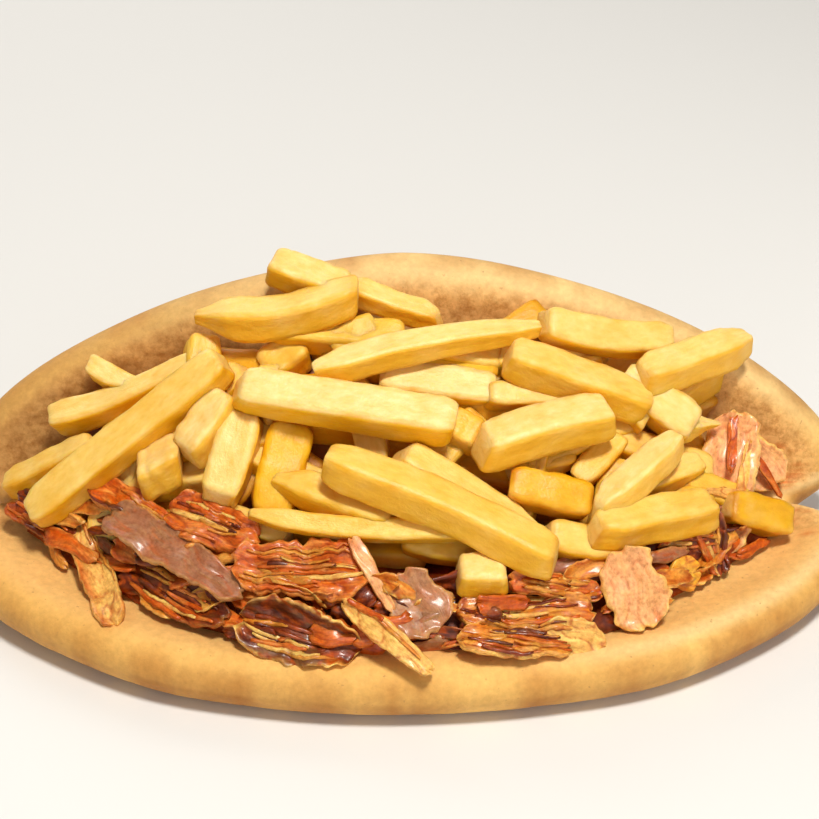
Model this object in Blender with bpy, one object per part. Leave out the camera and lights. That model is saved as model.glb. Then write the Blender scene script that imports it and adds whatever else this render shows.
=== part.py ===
"""Half doner kebab sandwich: a folded oval flatbread with shaved meat and a heap of thick-cut fries."""
import math
import random

import bmesh
import bpy
from mathutils import Vector, noise

# All sizes are in millimetres and are scaled to metres where a mesh is made.
MM = 0.001
GAP = 0.35

# Flatbread: an oval folded once along its length, lower flap flat, upper flap leaning back.
LOWER_HALF_LENGTH = 155.0
UPPER_HALF_LENGTH = 144.0
FOLD_HALF_LENGTH = 130.0
PINCH_AT = -0.15
LOWER_PINCH = 0.11
UPPER_PINCH = 0.08
LOWER_SQUARENESS = 2.1
UPPER_SQUARENESS = 1.65
LOWER_DEPTH = 108.0
UPPER_DEPTH = 70.0
FOLD_ANGLE = math.radians(70)
FOLD_RADIUS = 20.0
HALF_THICKNESS = 8.0
RIM_HALF_THICKNESS = 9.6
RIM_WIDTH = 11.0
LIP_CURL = 3.0
END_CURL = 1.5
UPPER_CUP = 12.0
LIP_FRONT = -5.0
FLAT_BELOW = 0.4
OUTLINE_UNEVEN = 0.012
OUTLINE_WAVE = 45.0
OUTLINE_SEED = 3.7
CURL_WIDTH = 30.0
FLAP_WAVE_HEIGHT = 1.5
FLAP_WAVE = 40.0
FLAP_SEED = 8.1
FACE_RELIEF = 0.6
FACE_WAVE = 22.0
FACE_SEED = 1.3
BREAD_SEGMENTS = 68
END_CROWDING = 0.2
RIM_STEPS = (0.0, 0.8, 3.0, 6.5, 11.0)
INNER_RINGS = (0.86, 0.7, 0.54, 0.38, 0.2)

# The filling is laid out as it is seen from the front, looking down by this angle.
LOOK_DOWN = math.radians(35)
MIDDLE_Y = 60.0
EDGE_HEIGHT = 18.0
EDGE_REACH = 128.0
EDGE_LOW = 16.0
EDGE_RISE = 40.0
EDGE_POWER = 2.2
HEAP_BELOW_RIM = 20.0
HEAP_RISE = 0.66
HEAP_SLOPE = math.radians(41)

# Cores under the visible pieces: their depth below the mean faces, and how far back they run.
FRIES_CORE_DEPTH = 6.0
FRIES_CORE_START = 26.0
FRIES_CORE_START_FALL = 12.0
FRIES_CORE_LEAST = 6.0
FRIES_CORE_BELOW_MEAT = 2.0
FRIES_CORE_TOE = 2.0
FRIES_CORE_IN_BREAD = 3.0
FRIES_CORE_ENDS = (-108.0, 98.0)
MEAT_CORE_DEPTH = 1.5
MEAT_FRONT_DEPTH = 2.0
MEAT_BANK_UP = (2.0, 10.0, 20.0)
MEAT_BANK_SHRINK = 0.6
MEAT_LAYER_TOP = 27.0
MEAT_LAYER_FALL = 12.0
MEAT_LAYER_POWER = 3
MEAT_LAYER_FLOOR = 12.0
MEAT_LAYER_TOE = 4.0
KNEE_BEHIND_BANK = 16.0
KNEE_BEFORE_REAR = 8.0
KNEE_BELOW_BANK = 4.0
MEAT_CORE_ENDS = (-119.0, 118.0)
CORE_REAR_Y = 36.0
CORE_REAR_SHARE = 0.62
CORE_STATIONS = 13

# Fries: (x, up, lift) of both ends, thickness, sag of the middle down the heap, width at the far end.
# "up" is measured up the sight plane from the lower lip, "lift" is height off the heap's mean face.
FRIES = (
    ((-40, 135.5, -3), (-17, 127, -4), 10.5, 0.0, 1.0),
    ((-15, 128, -6), (12, 118, -6), 8.0, 0.0, 1.0),
    ((-63, 119, 0), (-13, 126, -1), 12.0, 3.5, 1.0),
    ((-41, 102, -7), (-30, 110, -7), 12.0, 0.0, 1.0),
    ((-21, 110, -5), (-7.5, 117, -5), 8.5, 0.0, 1.0),
    ((-25, 101.5, 3), (42, 115, 2), 10.0, -2.5, 0.7),
    ((11, 108, -5), (31, 105, -5), 10.5, 0.0, 1.0),
    ((-6, 100, -4), (26.5, 96, -4), 11.5, 0.0, 1.0),
    ((-48.5, 97, 4), (16, 86.5, 3), 12.5, 0.0, 1.0),
    ((26, 95, -2), (52, 94, -2), 8.0, 0.0, 1.0),
    ((32.5, 106.5, 1), (75, 92, 1), 12.0, 0.0, 1.0),
    ((69, 100, -1), (90, 84.5, 1), 12.5, 0.0, 1.0),
    ((43.5, 117, 2), (84, 112.5, 0), 10.5, 2.0, 1.0),
    ((73.5, 100, 3), (109, 112, 5), 11.5, 0.0, 1.0),
    ((84, 86, -2), (98, 86, -2), 9.5, 0.0, 0.6),
    ((24, 79, 3), (63, 89, 3), 12.5, -1.0, 1.0),
    ((14, 87, -2), (24, 81.5, -2), 10.5, 0.0, 1.0),
    ((61, 95, -1), (74.5, 86, -1), 8.5, -2.5, 1.0),
    ((58.5, 60, 3), (84.5, 81.5, 3), 10.5, 0.0, 0.9),
    ((70, 66, -2), (93, 74, -2), 8.5, 0.0, 1.0),
    ((57, 55, 3), (95, 60.5, 3), 11.5, 0.0, 1.0),
    ((32.5, 68, 0), (56.5, 63, 0), 11.0, 0.0, 1.0),
    ((33.5, 72.5, -5), (52, 77, -5), 8.5, 0.0, 1.0),
    ((54, 69.5, -4), (68, 82.5, -4), 9.0, 0.0, 1.0),
    ((0, 77, 1), (41.5, 55, 1), 11.5, 0.0, 0.5),
    ((-21.5, 75.5, 5), (45, 47, 5), 12.5, -1.5, 1.0),
    ((-38, 70, -1), (-2, 58.5, -1), 10.0, 0.0, 1.0),
    ((-44.5, 60, 1), (20, 56, 1), 5.5, 2.5, 1.4),
    ((-33, 84.5, -5), (-39, 59, -5), 14.0, 0.0, 1.0),
    ((-46, 89, -1), (-54.5, 63.5, 0), 12.5, 0.0, 1.0),
    ((-51.5, 95, 1), (-64, 77, 1), 12.0, 0.0, 1.0),
    ((-79, 70, 0), (-66.5, 76, 0), 13.0, 0.0, 1.0),
    ((-113.5, 58, 5), (-53, 105, 4), 11.5, 0.0, 1.0),
    ((-61, 107.5, -3), (-109, 87, 0), 6.0, 2.5, 1.7),
    ((-124.5, 66, 0), (-95, 79.5, 0), 9.0, 0.0, 1.0),
    ((-97, 104.5, 0), (-77, 99, -4), 8.5, 2.0, 0.5),
    ((-47, 102, -3), (-72, 81.5, -3), 10.0, 0.0, 1.0),
    ((17, 42.5, 1), (31, 42.5, 1), 10.5, 0.0, 1.0),
    ((43, 53, -1), (63, 48.5, -1), 10.5, 0.0, 1.0),
    ((84, 62.5, -2), (95, 61, -2), 9.0, 0.0, 1.0),
    ((100, 61, 0), (121.5, 55.5, 1), 11.0, 0.0, 1.0),
    ((86, 68, -4), (110, 60, -2), 9.5, 0.0, 1.0),
)
FRY_STATIONS = 4
FRY_CORNER = 0.62
FRY_END = 0.88
FRY_SLANT = 0.25
FRY_SQUASH = 0.9
FRY_ROLL = math.radians(20)
FRIES_SEED = 5

# Fries laid under the others to fill the heap's face, turned along it or across it.
FILLER_FRIES = 22
FILLER_REACH = 92.0
FILLER_START = 30.0
FILLER_JITTER = (0.2, 0.8)
FILLER_TURN = 0.6
FILLER_CROSSED = 1.2
CROSSED_EVERY = 3
FORESHORTENING = 0.7
GOLDEN_SHARE = 0.618
FILLER_LIFT = -5.0
FILLER_THICKNESS = (8.5, 11.5)
FILLER_LENGTH = (26.0, 44.0)

# Meat shavings: their grid and outline, then both ends as above, width, thickness, curl of the
# long edges and roll in degrees.
SHAVING_STEPS = (4, 3)
SHAVING_END_WIDTH = 0.72
SHAVING_WAVE = 0.14
SHAVING_WAVE_RATE = 5.0
SHAVING_BOW = 0.06
SHAVING_BOW_RATE = 3.0
SHAVING_EDGE = 0.55
SHAVING_SHEAR = 0.6
SHAVING_SHEAR_RATE = 4.0
SHAVING_PHASES = 6.0
SHAVINGS_SEED = 9
SHAVINGS = (
    ((-104, 60, -4), (-84, 29, 6), 10.5, 4.0, 1.0, 0),
    ((-93, 66, 0), (-58.5, 51.5, 1), 11.0, 5.0, 1.0, 20),
    ((-87, 58, 1), (-46.5, 37, 2), 13.0, 7.0, 1.0, 10),
    ((-84, 44, -1), (-50, 28, -1), 12.0, 6.0, 1.0, 0),
    ((-46, 30, 1), (-11, 22, 1), 17.0, 4.5, -3.0, -15),
    ((-49, 45, 1), (-9, 44, 1), 20.0, 6.0, 1.0, 15),
    ((-16.5, 36, 3), (9, 16, 3.5), 6.5, 3.5, 0.5, 0),
    ((-14, 53, 0), (-2, 32, 0), 4.5, 3.5, 0.0, 0),
    ((0, 43, 0), (10, 26, 0), 18.0, 5.0, 1.5, 0),
    ((17, 33, 1), (56, 31, 1), 12.0, 5.0, 1.0, 20),
    ((17, 24, 1), (50, 21, 1), 11.0, 4.5, 1.0, 25),
    ((32, 41, 1), (60, 37, 1), 8.0, 5.0, 0.5, 0),
    ((42, 28, 2), (59, 21, 2), 12.0, 3.5, 1.0, 0),
    ((64, 49, 2), (74, 27, 2), 20.0, 4.0, 1.5, 0),
    ((81, 41, 0), (90, 42, 0), 10.0, 8.0, 0.0, 0),
    ((92, 60, -1), (98, 40, -1), 11.0, 5.0, 1.0, 0),
    ((-120, 61, -1), (-100, 50, -1), 11.0, 5.0, 1.0, 0),
    ((-69, 60, -1), (-42, 52, -1), 15.0, 7.0, 1.0, 0),
    ((100, 46, -3), (106, 90, -1), 18.0, 4.5, 1.0, 0),
    ((74, 52, -2), (100, 50, -2), 10.0, 6.0, 0.0, 0),
)

# Plain finishes: colour and roughness of each node, and the angle above which an edge stays sharp.
BREAD_FINISH = ((0.72, 0.44, 0.17), 0.7)
MEAT_FINISH = ((0.36, 0.14, 0.05), 0.6)
FRIES_FINISH = ((0.86, 0.58, 0.14), 0.5)
SHARP_ANGLE = math.radians(40)


def clear_scene():
    for obj in list(bpy.data.objects):
        bpy.data.objects.remove(obj, do_unlink=True)


def make_material(name, colour, roughness):
    material = bpy.data.materials.new(name)
    material.use_nodes = True
    shader = material.node_tree.nodes["Principled BSDF"]
    shader.inputs["Base Color"].default_value = (*colour, 1.0)
    shader.inputs["Roughness"].default_value = roughness
    shader.inputs["Metallic"].default_value = 0.0
    return material


def fan(face):
    """The triangles of a face, always split from its first corner."""
    return [(face[0], face[i], face[i + 1]) for i in range(1, len(face) - 1)]


def make_object(name, points, faces, collection=None):
    """A closed mesh object from points in millimetres, with its faces turned outward."""
    mesh = bpy.data.meshes.new(name)
    triangles = [triangle for face in faces for triangle in fan(face)]
    mesh.from_pydata([(p[0] * MM, p[1] * MM, p[2] * MM) for p in points], [], triangles)
    work = bmesh.new()
    work.from_mesh(mesh)
    bmesh.ops.recalc_face_normals(work, faces=work.faces)
    work.to_mesh(mesh)
    work.free()
    obj = bpy.data.objects.new(name, mesh)
    (collection or bpy.context.scene.collection).objects.link(obj)
    return obj


# Flatbread

def smooth_noise(a, b, size, seed):
    return noise.noise(Vector((a / size, b / size, seed)))


def bread_outline(turn):
    """Outline of the flat oval: along the fold and across it, from the fold line's middle."""
    sine, cosine = math.sin(turn), math.cos(turn)
    upper = sine > PINCH_AT
    pinch = UPPER_PINCH if upper else LOWER_PINCH
    longest = UPPER_HALF_LENGTH if upper else LOWER_HALF_LENGTH
    away = 1.0 - math.exp(-((sine - PINCH_AT) / pinch) ** 2)
    reach = FOLD_HALF_LENGTH + (longest - FOLD_HALF_LENGTH) * away
    power = 2.0 / (UPPER_SQUARENESS if sine > 0.0 else LOWER_SQUARENESS)
    a = math.copysign(reach * abs(cosine) ** power, cosine)
    b = math.copysign(abs(sine) ** power, sine) * (UPPER_DEPTH if sine > 0.0 else LOWER_DEPTH)
    uneven = 1.0 + OUTLINE_UNEVEN * smooth_noise(a, b, OUTLINE_WAVE, OUTLINE_SEED)
    return a * uneven, b * uneven


def rim_half_thickness(inward):
    """Half of the bread's thickness at a distance in from its outline: a round rim, thinner inside."""
    if inward < RIM_WIDTH:
        return RIM_HALF_THICKNESS * math.sqrt(1.0 - (1.0 - inward / RIM_WIDTH) ** 2)
    fade = min(1.0, (inward - RIM_WIDTH) / RIM_WIDTH)
    fade = fade * fade * (3.0 - 2.0 * fade)
    return RIM_HALF_THICKNESS + (HALF_THICKNESS - RIM_HALF_THICKNESS) * fade


def folded(a, b, offset):
    """A point of the folded bread, at an offset from its middle surface toward the filling."""
    run = b + LOWER_DEPTH
    bend_start = LOWER_DEPTH - FOLD_RADIUS * FOLD_ANGLE
    y = LIP_FRONT + min(run, bend_start)
    z = 0.0
    angle = 0.0
    if run > bend_start:
        angle = min((run - bend_start) / FOLD_RADIUS, FOLD_ANGLE)
        y += FOLD_RADIUS * math.sin(angle)
        z += FOLD_RADIUS * (1.0 - math.cos(angle))
    if b > 0.0:
        y += b * math.cos(FOLD_ANGLE)
        z += b * math.sin(FOLD_ANGLE)
    y -= offset * math.sin(angle)
    z += offset * math.cos(angle)
    return Vector((a, y - MIDDLE_Y, z + HALF_THICKNESS))


def bread_lean(a, b, inward):
    """How far the middle surface leaves the plain fold: a curled lip and a cupped upper flap."""
    ends = (a / LOWER_HALF_LENGTH) ** 2
    edge = max(0.0, 1.0 - inward / CURL_WIDTH) ** 2
    if b < 0.0:
        curl = (LIP_CURL + END_CURL * ends) * edge
        return curl * min(1.0, -b / CURL_WIDTH)
    rise = b / UPPER_DEPTH
    wave = FLAP_WAVE_HEIGHT * smooth_noise(a, b, FLAP_WAVE, FLAP_SEED)
    return (UPPER_CUP * ends + wave) * rise


def bread_rings():
    """Distances in from the outline, then fractions of what is left, from the rim to the middle."""
    for step in RIM_STEPS:
        yield step, 1.0
    for fraction in INNER_RINGS:
        yield RIM_WIDTH, fraction


def bread_ring(inward, fraction, side, grow):
    """One ring of points on the inner (side 1) or outer (side -1) face of the bread."""
    ring = []
    for step in range(BREAD_SEGMENTS):
        turn = 2.0 * math.pi * (step + 0.5) / BREAD_SEGMENTS
        a, b = bread_outline(turn - END_CROWDING * math.sin(2.0 * turn))
        reach = math.hypot(a, b)
        scale = (1.0 - inward / reach) * fraction
        depth = reach * (1.0 - scale)
        half = rim_half_thickness(depth)
        if side > 0:
            half += FACE_RELIEF * smooth_noise(a * scale, b * scale, FACE_WAVE, FACE_SEED)
        if inward == 0.0:
            half = 0.0
            scale += grow / reach
        elif depth < RIM_WIDTH:
            scale += grow * (1.0 - depth / RIM_WIDTH) / reach
        a, b = a * scale, b * scale
        offset = bread_lean(a, b, depth) + side * (half + (grow if inward > 0.0 else 0.0))
        point = folded(a, b, offset)
        if side < 0 and point.z < FLAT_BELOW and grow == 0.0:
            point.z = 0.0
        ring.append(point)
    return ring


def make_bread(name, grow=0.0, collection=None):
    """The folded oval as one closed body: rings on the inner face, round the rim, and outside."""
    rings = [bread_ring(inward, fraction, 1, grow) for inward, fraction in bread_rings()]
    rings = rings[::-1]
    rings += [bread_ring(inward, fraction, -1, grow) for inward, fraction in bread_rings()][1:]
    inner = folded(0.0, 0.0, HALF_THICKNESS + grow)
    outer = folded(0.0, 0.0, -HALF_THICKNESS - grow)
    points = [point for ring in rings for point in ring] + [inner, outer]
    count = BREAD_SEGMENTS
    faces = []
    for row in range(len(rings) - 1):
        for step in range(count):
            after = (step + 1) % count
            faces.append((row * count + step, row * count + after,
                          (row + 1) * count + after, (row + 1) * count + step))
    last = (len(rings) - 1) * count
    for step in range(count):
        after = (step + 1) % count
        faces.append((len(points) - 2, after, step))
        faces.append((len(points) - 1, last + step, last + after))
    return make_object(name, points, faces, collection)


# Where the filling lies

def edge_up(x):
    """How far up the sight plane the filling starts, behind the lower lip."""
    return EDGE_LOW + EDGE_RISE * (abs(x) / EDGE_REACH) ** EDGE_POWER


def seen_at(x, up, lift):
    """The point that is seen at (x, up) from the front and lies `lift` above the heap's mean face."""
    z = EDGE_HEIGHT + HEAP_RISE * (up - edge_up(x)) + lift
    y = (up - z * math.cos(LOOK_DOWN)) / math.sin(LOOK_DOWN)
    return Vector((x, y - MIDDLE_Y, z))


def rim_across(x):
    """How far the upper flap reaches from the fold at a place along it."""
    along = min(1.0, abs(x) / UPPER_HALF_LENGTH)
    return UPPER_DEPTH * (1.0 - along ** UPPER_SQUARENESS) ** (1.0 / UPPER_SQUARENESS)


def heap_top_up(x):
    """How far up the sight plane the fries reach, below the flap's rim."""
    rim = folded(x, rim_across(x), HALF_THICKNESS)
    seen = (rim.y + MIDDLE_Y) * math.sin(LOOK_DOWN) + rim.z * math.cos(LOOK_DOWN)
    return seen - HEAP_BELOW_RIM


def heap_normal():
    return Vector((0.0, -math.sin(HEAP_SLOPE), math.cos(HEAP_SLOPE)))


def frame_along(start, end, roll):
    """Unit vectors along a piece, across it and out of the heap, turned about its length."""
    along = (end - start).normalized()
    across = along.cross(heap_normal()).normalized()
    outward = across.cross(along)
    turned = across * math.cos(roll) + outward * math.sin(roll)
    return along, turned, turned.cross(along)


# Fries

def fry(name, start, end, thick, sag, taper, rng, collection):
    """A bent bar with chamfered corners and slanted ends."""
    roll = rng.uniform(-FRY_ROLL, FRY_ROLL)
    along, across, outward = frame_along(start, end, roll)
    downhill = frame_along(start, end, 0.0)[1] * math.copysign(1.0, end.x - start.x)
    slants = (rng.uniform(-FRY_SLANT, FRY_SLANT), rng.uniform(-FRY_SLANT, FRY_SLANT))
    squash = rng.uniform(FRY_SQUASH, 1.0)
    corner = FRY_CORNER
    section = ((1, corner), (corner, 1), (-corner, 1), (-1, corner),
               (-1, -corner), (-corner, -1), (corner, -1), (1, -corner))
    last = FRY_STATIONS - 1
    points = []
    for station in range(FRY_STATIONS):
        part = station / last
        middle = start.lerp(end, part) + downhill * sag * math.sin(math.pi * part)
        half = 0.5 * thick * (1.0 + (taper - 1.0) * part)
        slant = 0.0
        if station in (0, last):
            half *= FRY_END
            slant = slants[0] if station == 0 else slants[1]
        for side, height in section:
            points.append(middle + across * side * half + outward * height * half * squash
                          + along * side * slant * half)
    size = len(section)
    faces = [tuple(range(size)), tuple(range(last * size, (last + 1) * size))]
    for station in range(last):
        for step in range(size):
            after = (step + 1) % size
            faces.append((station * size + step, station * size + after,
                          (station + 1) * size + after, (station + 1) * size + step))
    return make_object(name, points, faces, collection)


def filler_fries(rng):
    """Fries under the ones that show, spread evenly over the heap's face."""
    for index in range(FILLER_FRIES):
        x = FILLER_REACH * (2.0 * (index + rng.uniform(*FILLER_JITTER)) / FILLER_FRIES - 1.0)
        low = edge_up(x) + FILLER_START
        up = low + (heap_top_up(x) - low) * ((index * GOLDEN_SHARE) % 1.0)
        turn = rng.uniform(-FILLER_TURN, FILLER_TURN)
        turn += FILLER_CROSSED if index % CROSSED_EVERY == 0 else 0.0
        half = 0.5 * rng.uniform(*FILLER_LENGTH)
        side, rise = half * math.cos(turn), half * math.sin(turn) * FORESHORTENING
        thick = rng.uniform(*FILLER_THICKNESS)
        yield (x - side, up - rise, FILLER_LIFT), (x + side, up + rise, FILLER_LIFT), thick


def make_fries(collection):
    rng = random.Random(FRIES_SEED)
    for index, (one, two, thick, sag, taper) in enumerate(FRIES):
        fry(f"fry_{index}", seen_at(*one), seen_at(*two), thick, sag, taper, rng, collection)
    for index, (one, two, thick) in enumerate(filler_fries(rng)):
        fry(f"filler_{index}", seen_at(*one), seen_at(*two), thick, 0.0, 1.0, rng, collection)


# Meat

def shaving(name, start, end, width, thick, curl, roll, rng, grow, collection):
    """A thin uneven slice: a bent plate with a wavy outline."""
    along, across, outward = frame_along(start, end, math.radians(roll))
    long_steps, wide_steps = SHAVING_STEPS
    phase = rng.uniform(0.0, SHAVING_PHASES)
    reach = (end - start).length
    points = []
    for side in (1, -1):
        for i in range(long_steps + 1):
            part = i / long_steps
            middle = start.lerp(end, part)
            belly = (1.0 - SHAVING_END_WIDTH) * math.sin(math.pi * part)
            half = 0.5 * width * (SHAVING_END_WIDTH + belly)
            half *= 1.0 + SHAVING_WAVE * math.sin(SHAVING_WAVE_RATE * part + phase)
            middle = middle + along * grow * (2.0 * part - 1.0)
            for j in range(wide_steps + 1):
                place = 2.0 * j / wide_steps - 1.0
                bow = SHAVING_BOW * reach * math.sin(SHAVING_BOW_RATE * part + phase)
                bend = curl * place * place + bow
                edge = SHAVING_EDGE if j in (0, wide_steps) or i in (0, long_steps) else 1.0
                shift = SHAVING_SHEAR * math.sin(SHAVING_SHEAR_RATE * place + phase)
                points.append(middle + across * place * (half + grow) + along * shift
                              + outward * (bend + side * (0.5 * thick * edge + grow)))
    row = wide_steps + 1
    sheet = row * (long_steps + 1)
    faces = []
    for i in range(long_steps):
        for j in range(wide_steps):
            first = i * row + j
            faces.append((first, first + 1, first + row + 1, first + row))
            faces.append((sheet + first, sheet + first + row, sheet + first + row + 1, sheet + first + 1))
    border = [j for j in range(row)]
    border += [i * row + wide_steps for i in range(1, long_steps + 1)]
    border += [long_steps * row + j for j in range(wide_steps - 1, -1, -1)]
    border += [i * row for i in range(long_steps - 1, 0, -1)]
    for index, first in enumerate(border):
        after = border[(index + 1) % len(border)]
        faces.append((first, sheet + first, sheet + after, after))
    return make_object(name, points, faces, collection)


def make_shavings(collection, grow=0.0):
    rng = random.Random(SHAVINGS_SEED)
    for index, (one, two, width, thick, curl, roll) in enumerate(SHAVINGS):
        shaving(f"shaving_{index}", seen_at(*one), seen_at(*two), width, thick, curl, roll,
                rng, grow, collection)


# Cores

def loft(name, sections, collection=None):
    """A closed body through rings of equal size."""
    size = len(sections[0])
    points = [point for section in sections for point in section]
    faces = [tuple(range(size)), tuple(range(len(points) - size, len(points)))]
    for row in range(len(sections) - 1):
        for step in range(size):
            after = (step + 1) % size
            faces.append((row * size + step, row * size + after,
                          (row + 1) * size + after, (row + 1) * size + step))
    return make_object(name, points, faces, collection)


def core_station(step, ends, grow):
    """The place along the bread of one cross-section of a core, between its two ends."""
    left, right = ends[0] - grow, ends[1] + grow
    return left + (right - left) * step / (CORE_STATIONS - 1)


def meat_top(x):
    """Height of the meat layer under the fries."""
    return MEAT_LAYER_TOP - MEAT_LAYER_FALL * (abs(x) / EDGE_REACH) ** MEAT_LAYER_POWER


def meat_core(name, grow=0.0, collection=None):
    """The meat layer: a bank behind the lip, then a flat layer running back to the fold."""
    sections = []
    for step in range(CORE_STATIONS):
        x = core_station(step, MEAT_CORE_ENDS, grow)
        start = edge_up(x)
        top = meat_top(x) + grow
        front = seen_at(x, start + MEAT_BANK_UP[0] - grow, -MEAT_FRONT_DEPTH)
        share = 1.0 - MEAT_BANK_SHRINK * (x / EDGE_REACH) ** 2
        crest = seen_at(x, start + MEAT_BANK_UP[1] * share, -MEAT_CORE_DEPTH + grow)
        bank = seen_at(x, start + MEAT_BANK_UP[2] * share, -MEAT_CORE_DEPTH + grow)
        knee = min(bank.y + KNEE_BEHIND_BANK, CORE_REAR_Y - KNEE_BEFORE_REAR)
        section = [front, crest, bank, Vector((x, knee, max(top, bank.z - KNEE_BELOW_BANK))),
                   Vector((x, CORE_REAR_Y, top)), Vector((x, CORE_REAR_Y, MEAT_LAYER_FLOOR)),
                   Vector((x, front.y + MEAT_LAYER_TOE, MEAT_LAYER_FLOOR))]
        sections.append(section)
    return loft(name, sections, collection)


def fries_core(name, collection=None):
    """The inside of the heap, from the meat layer up to just under the fries that show."""
    sections = []
    for step in range(CORE_STATIONS):
        x = core_station(step, FRIES_CORE_ENDS, 0.0)
        start = edge_up(x)
        low = start + FRIES_CORE_START - FRIES_CORE_START_FALL * (x / EDGE_REACH) ** 2
        high = max(low + FRIES_CORE_LEAST, heap_top_up(x))
        base = meat_top(x) - FRIES_CORE_BELOW_MEAT
        front = seen_at(x, low, -FRIES_CORE_DEPTH)
        middle = seen_at(x, 0.5 * (low + high), -FRIES_CORE_DEPTH)
        top = seen_at(x, high, -FRIES_CORE_DEPTH)
        rear = folded(x, CORE_REAR_SHARE * rim_across(x), HALF_THICKNESS - FRIES_CORE_IN_BREAD)
        heel = Vector((x, CORE_REAR_Y, base))
        section = [front, middle, top, rear, heel, Vector((x, front.y + FRIES_CORE_TOE, base))]
        sections.append(section)
    return loft(name, sections, collection)


# Joining

def temporary_collection(name):
    collection = bpy.data.collections.new(name)
    bpy.context.scene.collection.children.link(collection)
    return collection


def drop_collection(collection):
    for obj in list(collection.objects):
        bpy.data.objects.remove(obj, do_unlink=True)
    bpy.data.collections.remove(collection)


def apply_boolean(obj, operation, collection):
    """Joins or cuts with every object of a collection at once, then applies the result."""
    modifier = obj.modifiers.new(operation.lower(), "BOOLEAN")
    modifier.operation = operation
    modifier.operand_type = "COLLECTION"
    modifier.collection = collection
    modifier.solver = "EXACT"
    graph = bpy.context.evaluated_depsgraph_get()
    result = bpy.data.meshes.new_from_object(obj.evaluated_get(graph))
    obj.modifiers.remove(modifier)
    obj.data = result


def keep_largest_shell(obj):
    """Fills sealed hollows and drops loose scraps: only the shell with the most faces stays."""
    work = bmesh.new()
    work.from_mesh(obj.data)
    unseen = set(work.faces)
    shells = []
    while unseen:
        pending = [unseen.pop()]
        shell = []
        while pending:
            face = pending.pop()
            shell.append(face)
            for edge in face.edges:
                for neighbour in edge.link_faces:
                    if neighbour in unseen:
                        unseen.remove(neighbour)
                        pending.append(neighbour)
        shells.append(shell)
    shells.sort(key=len)
    loose = [face for shell in shells[:-1] for face in shell]
    bmesh.ops.delete(work, geom=loose, context="FACES")
    bmesh.ops.triangulate(work, faces=work.faces)
    work.to_mesh(obj.data)
    work.free()


def finish_node(obj, material):
    obj.data.materials.clear()
    obj.data.materials.append(material)
    obj.data.shade_smooth()
    obj.data.set_sharp_from_angle(angle=SHARP_ANGLE)


def build_bread():
    bread = make_bread("bread")
    finish_node(bread, make_material("bread_crust", *BREAD_FINISH))


def build_meat():
    pieces = temporary_collection("meat_pieces")
    make_shavings(pieces)
    cutters = temporary_collection("meat_cutters")
    make_bread("bread_swollen", GAP, cutters)
    meat = meat_core("doner_meat")
    apply_boolean(meat, "UNION", pieces)
    apply_boolean(meat, "DIFFERENCE", cutters)
    keep_largest_shell(meat)
    drop_collection(pieces)
    drop_collection(cutters)
    finish_node(meat, make_material("doner_meat", *MEAT_FINISH))


def build_fries():
    pieces = temporary_collection("fry_pieces")
    make_fries(pieces)
    cutters = temporary_collection("fry_cutters")
    make_bread("bread_swollen", GAP, cutters)
    meat_core("meat_swollen", GAP, cutters)
    make_shavings(cutters, GAP)
    fries = fries_core("fries")
    apply_boolean(fries, "UNION", pieces)
    apply_boolean(fries, "DIFFERENCE", cutters)
    keep_largest_shell(fries)
    drop_collection(pieces)
    drop_collection(cutters)
    finish_node(fries, make_material("fried_potato", *FRIES_FINISH))


def main():
    clear_scene()
    build_bread()
    build_meat()
    build_fries()


main()
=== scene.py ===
"""Looks of the half doner kebab sandwich: flatbread, shaved meat and thick-cut fries."""
import math
import random

import bpy
from mathutils import Matrix, Vector, noise


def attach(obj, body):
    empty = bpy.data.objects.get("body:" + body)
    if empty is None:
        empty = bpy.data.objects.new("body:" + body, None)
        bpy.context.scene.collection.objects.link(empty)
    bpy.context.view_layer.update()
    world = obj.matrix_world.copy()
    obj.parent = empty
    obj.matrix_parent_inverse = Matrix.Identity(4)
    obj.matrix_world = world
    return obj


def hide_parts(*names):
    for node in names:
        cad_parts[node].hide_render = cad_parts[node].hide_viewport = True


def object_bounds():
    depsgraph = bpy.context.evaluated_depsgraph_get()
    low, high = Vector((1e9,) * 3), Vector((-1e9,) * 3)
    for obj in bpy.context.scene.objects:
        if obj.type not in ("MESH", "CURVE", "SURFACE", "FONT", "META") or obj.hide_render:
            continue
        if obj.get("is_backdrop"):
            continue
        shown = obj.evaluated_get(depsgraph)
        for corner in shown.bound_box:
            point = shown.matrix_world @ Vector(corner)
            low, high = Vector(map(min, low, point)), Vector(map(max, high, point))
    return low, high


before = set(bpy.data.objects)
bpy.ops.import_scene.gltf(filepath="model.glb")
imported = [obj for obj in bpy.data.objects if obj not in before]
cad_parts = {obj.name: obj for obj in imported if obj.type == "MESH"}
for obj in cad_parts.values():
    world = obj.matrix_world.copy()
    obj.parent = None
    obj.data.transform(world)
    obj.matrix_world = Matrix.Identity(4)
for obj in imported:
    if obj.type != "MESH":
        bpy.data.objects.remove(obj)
cad_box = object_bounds()

# Sizes are in millimetres, as in the part's source, and are scaled where a mesh is made.
MM = 0.001

# Flatbread, the same oval and fold as the solid.
LOWER_HALF_LENGTH = 155.0
UPPER_HALF_LENGTH = 144.0
FOLD_HALF_LENGTH = 130.0
PINCH_AT = -0.15
LOWER_PINCH = 0.11
UPPER_PINCH = 0.08
LOWER_SQUARENESS = 2.1
UPPER_SQUARENESS = 1.65
LOWER_DEPTH = 108.0
UPPER_DEPTH = 70.0
FOLD_ANGLE = math.radians(70)
FOLD_RADIUS = 20.0
HALF_THICKNESS = 8.0
RIM_HALF_THICKNESS = 9.6
RIM_WIDTH = 11.0
LIP_CURL = 3.0
END_CURL = 1.5
UPPER_CUP = 12.0
LIP_FRONT = -5.0
FLAT_BELOW = 0.4
CURL_WIDTH = 30.0
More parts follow.
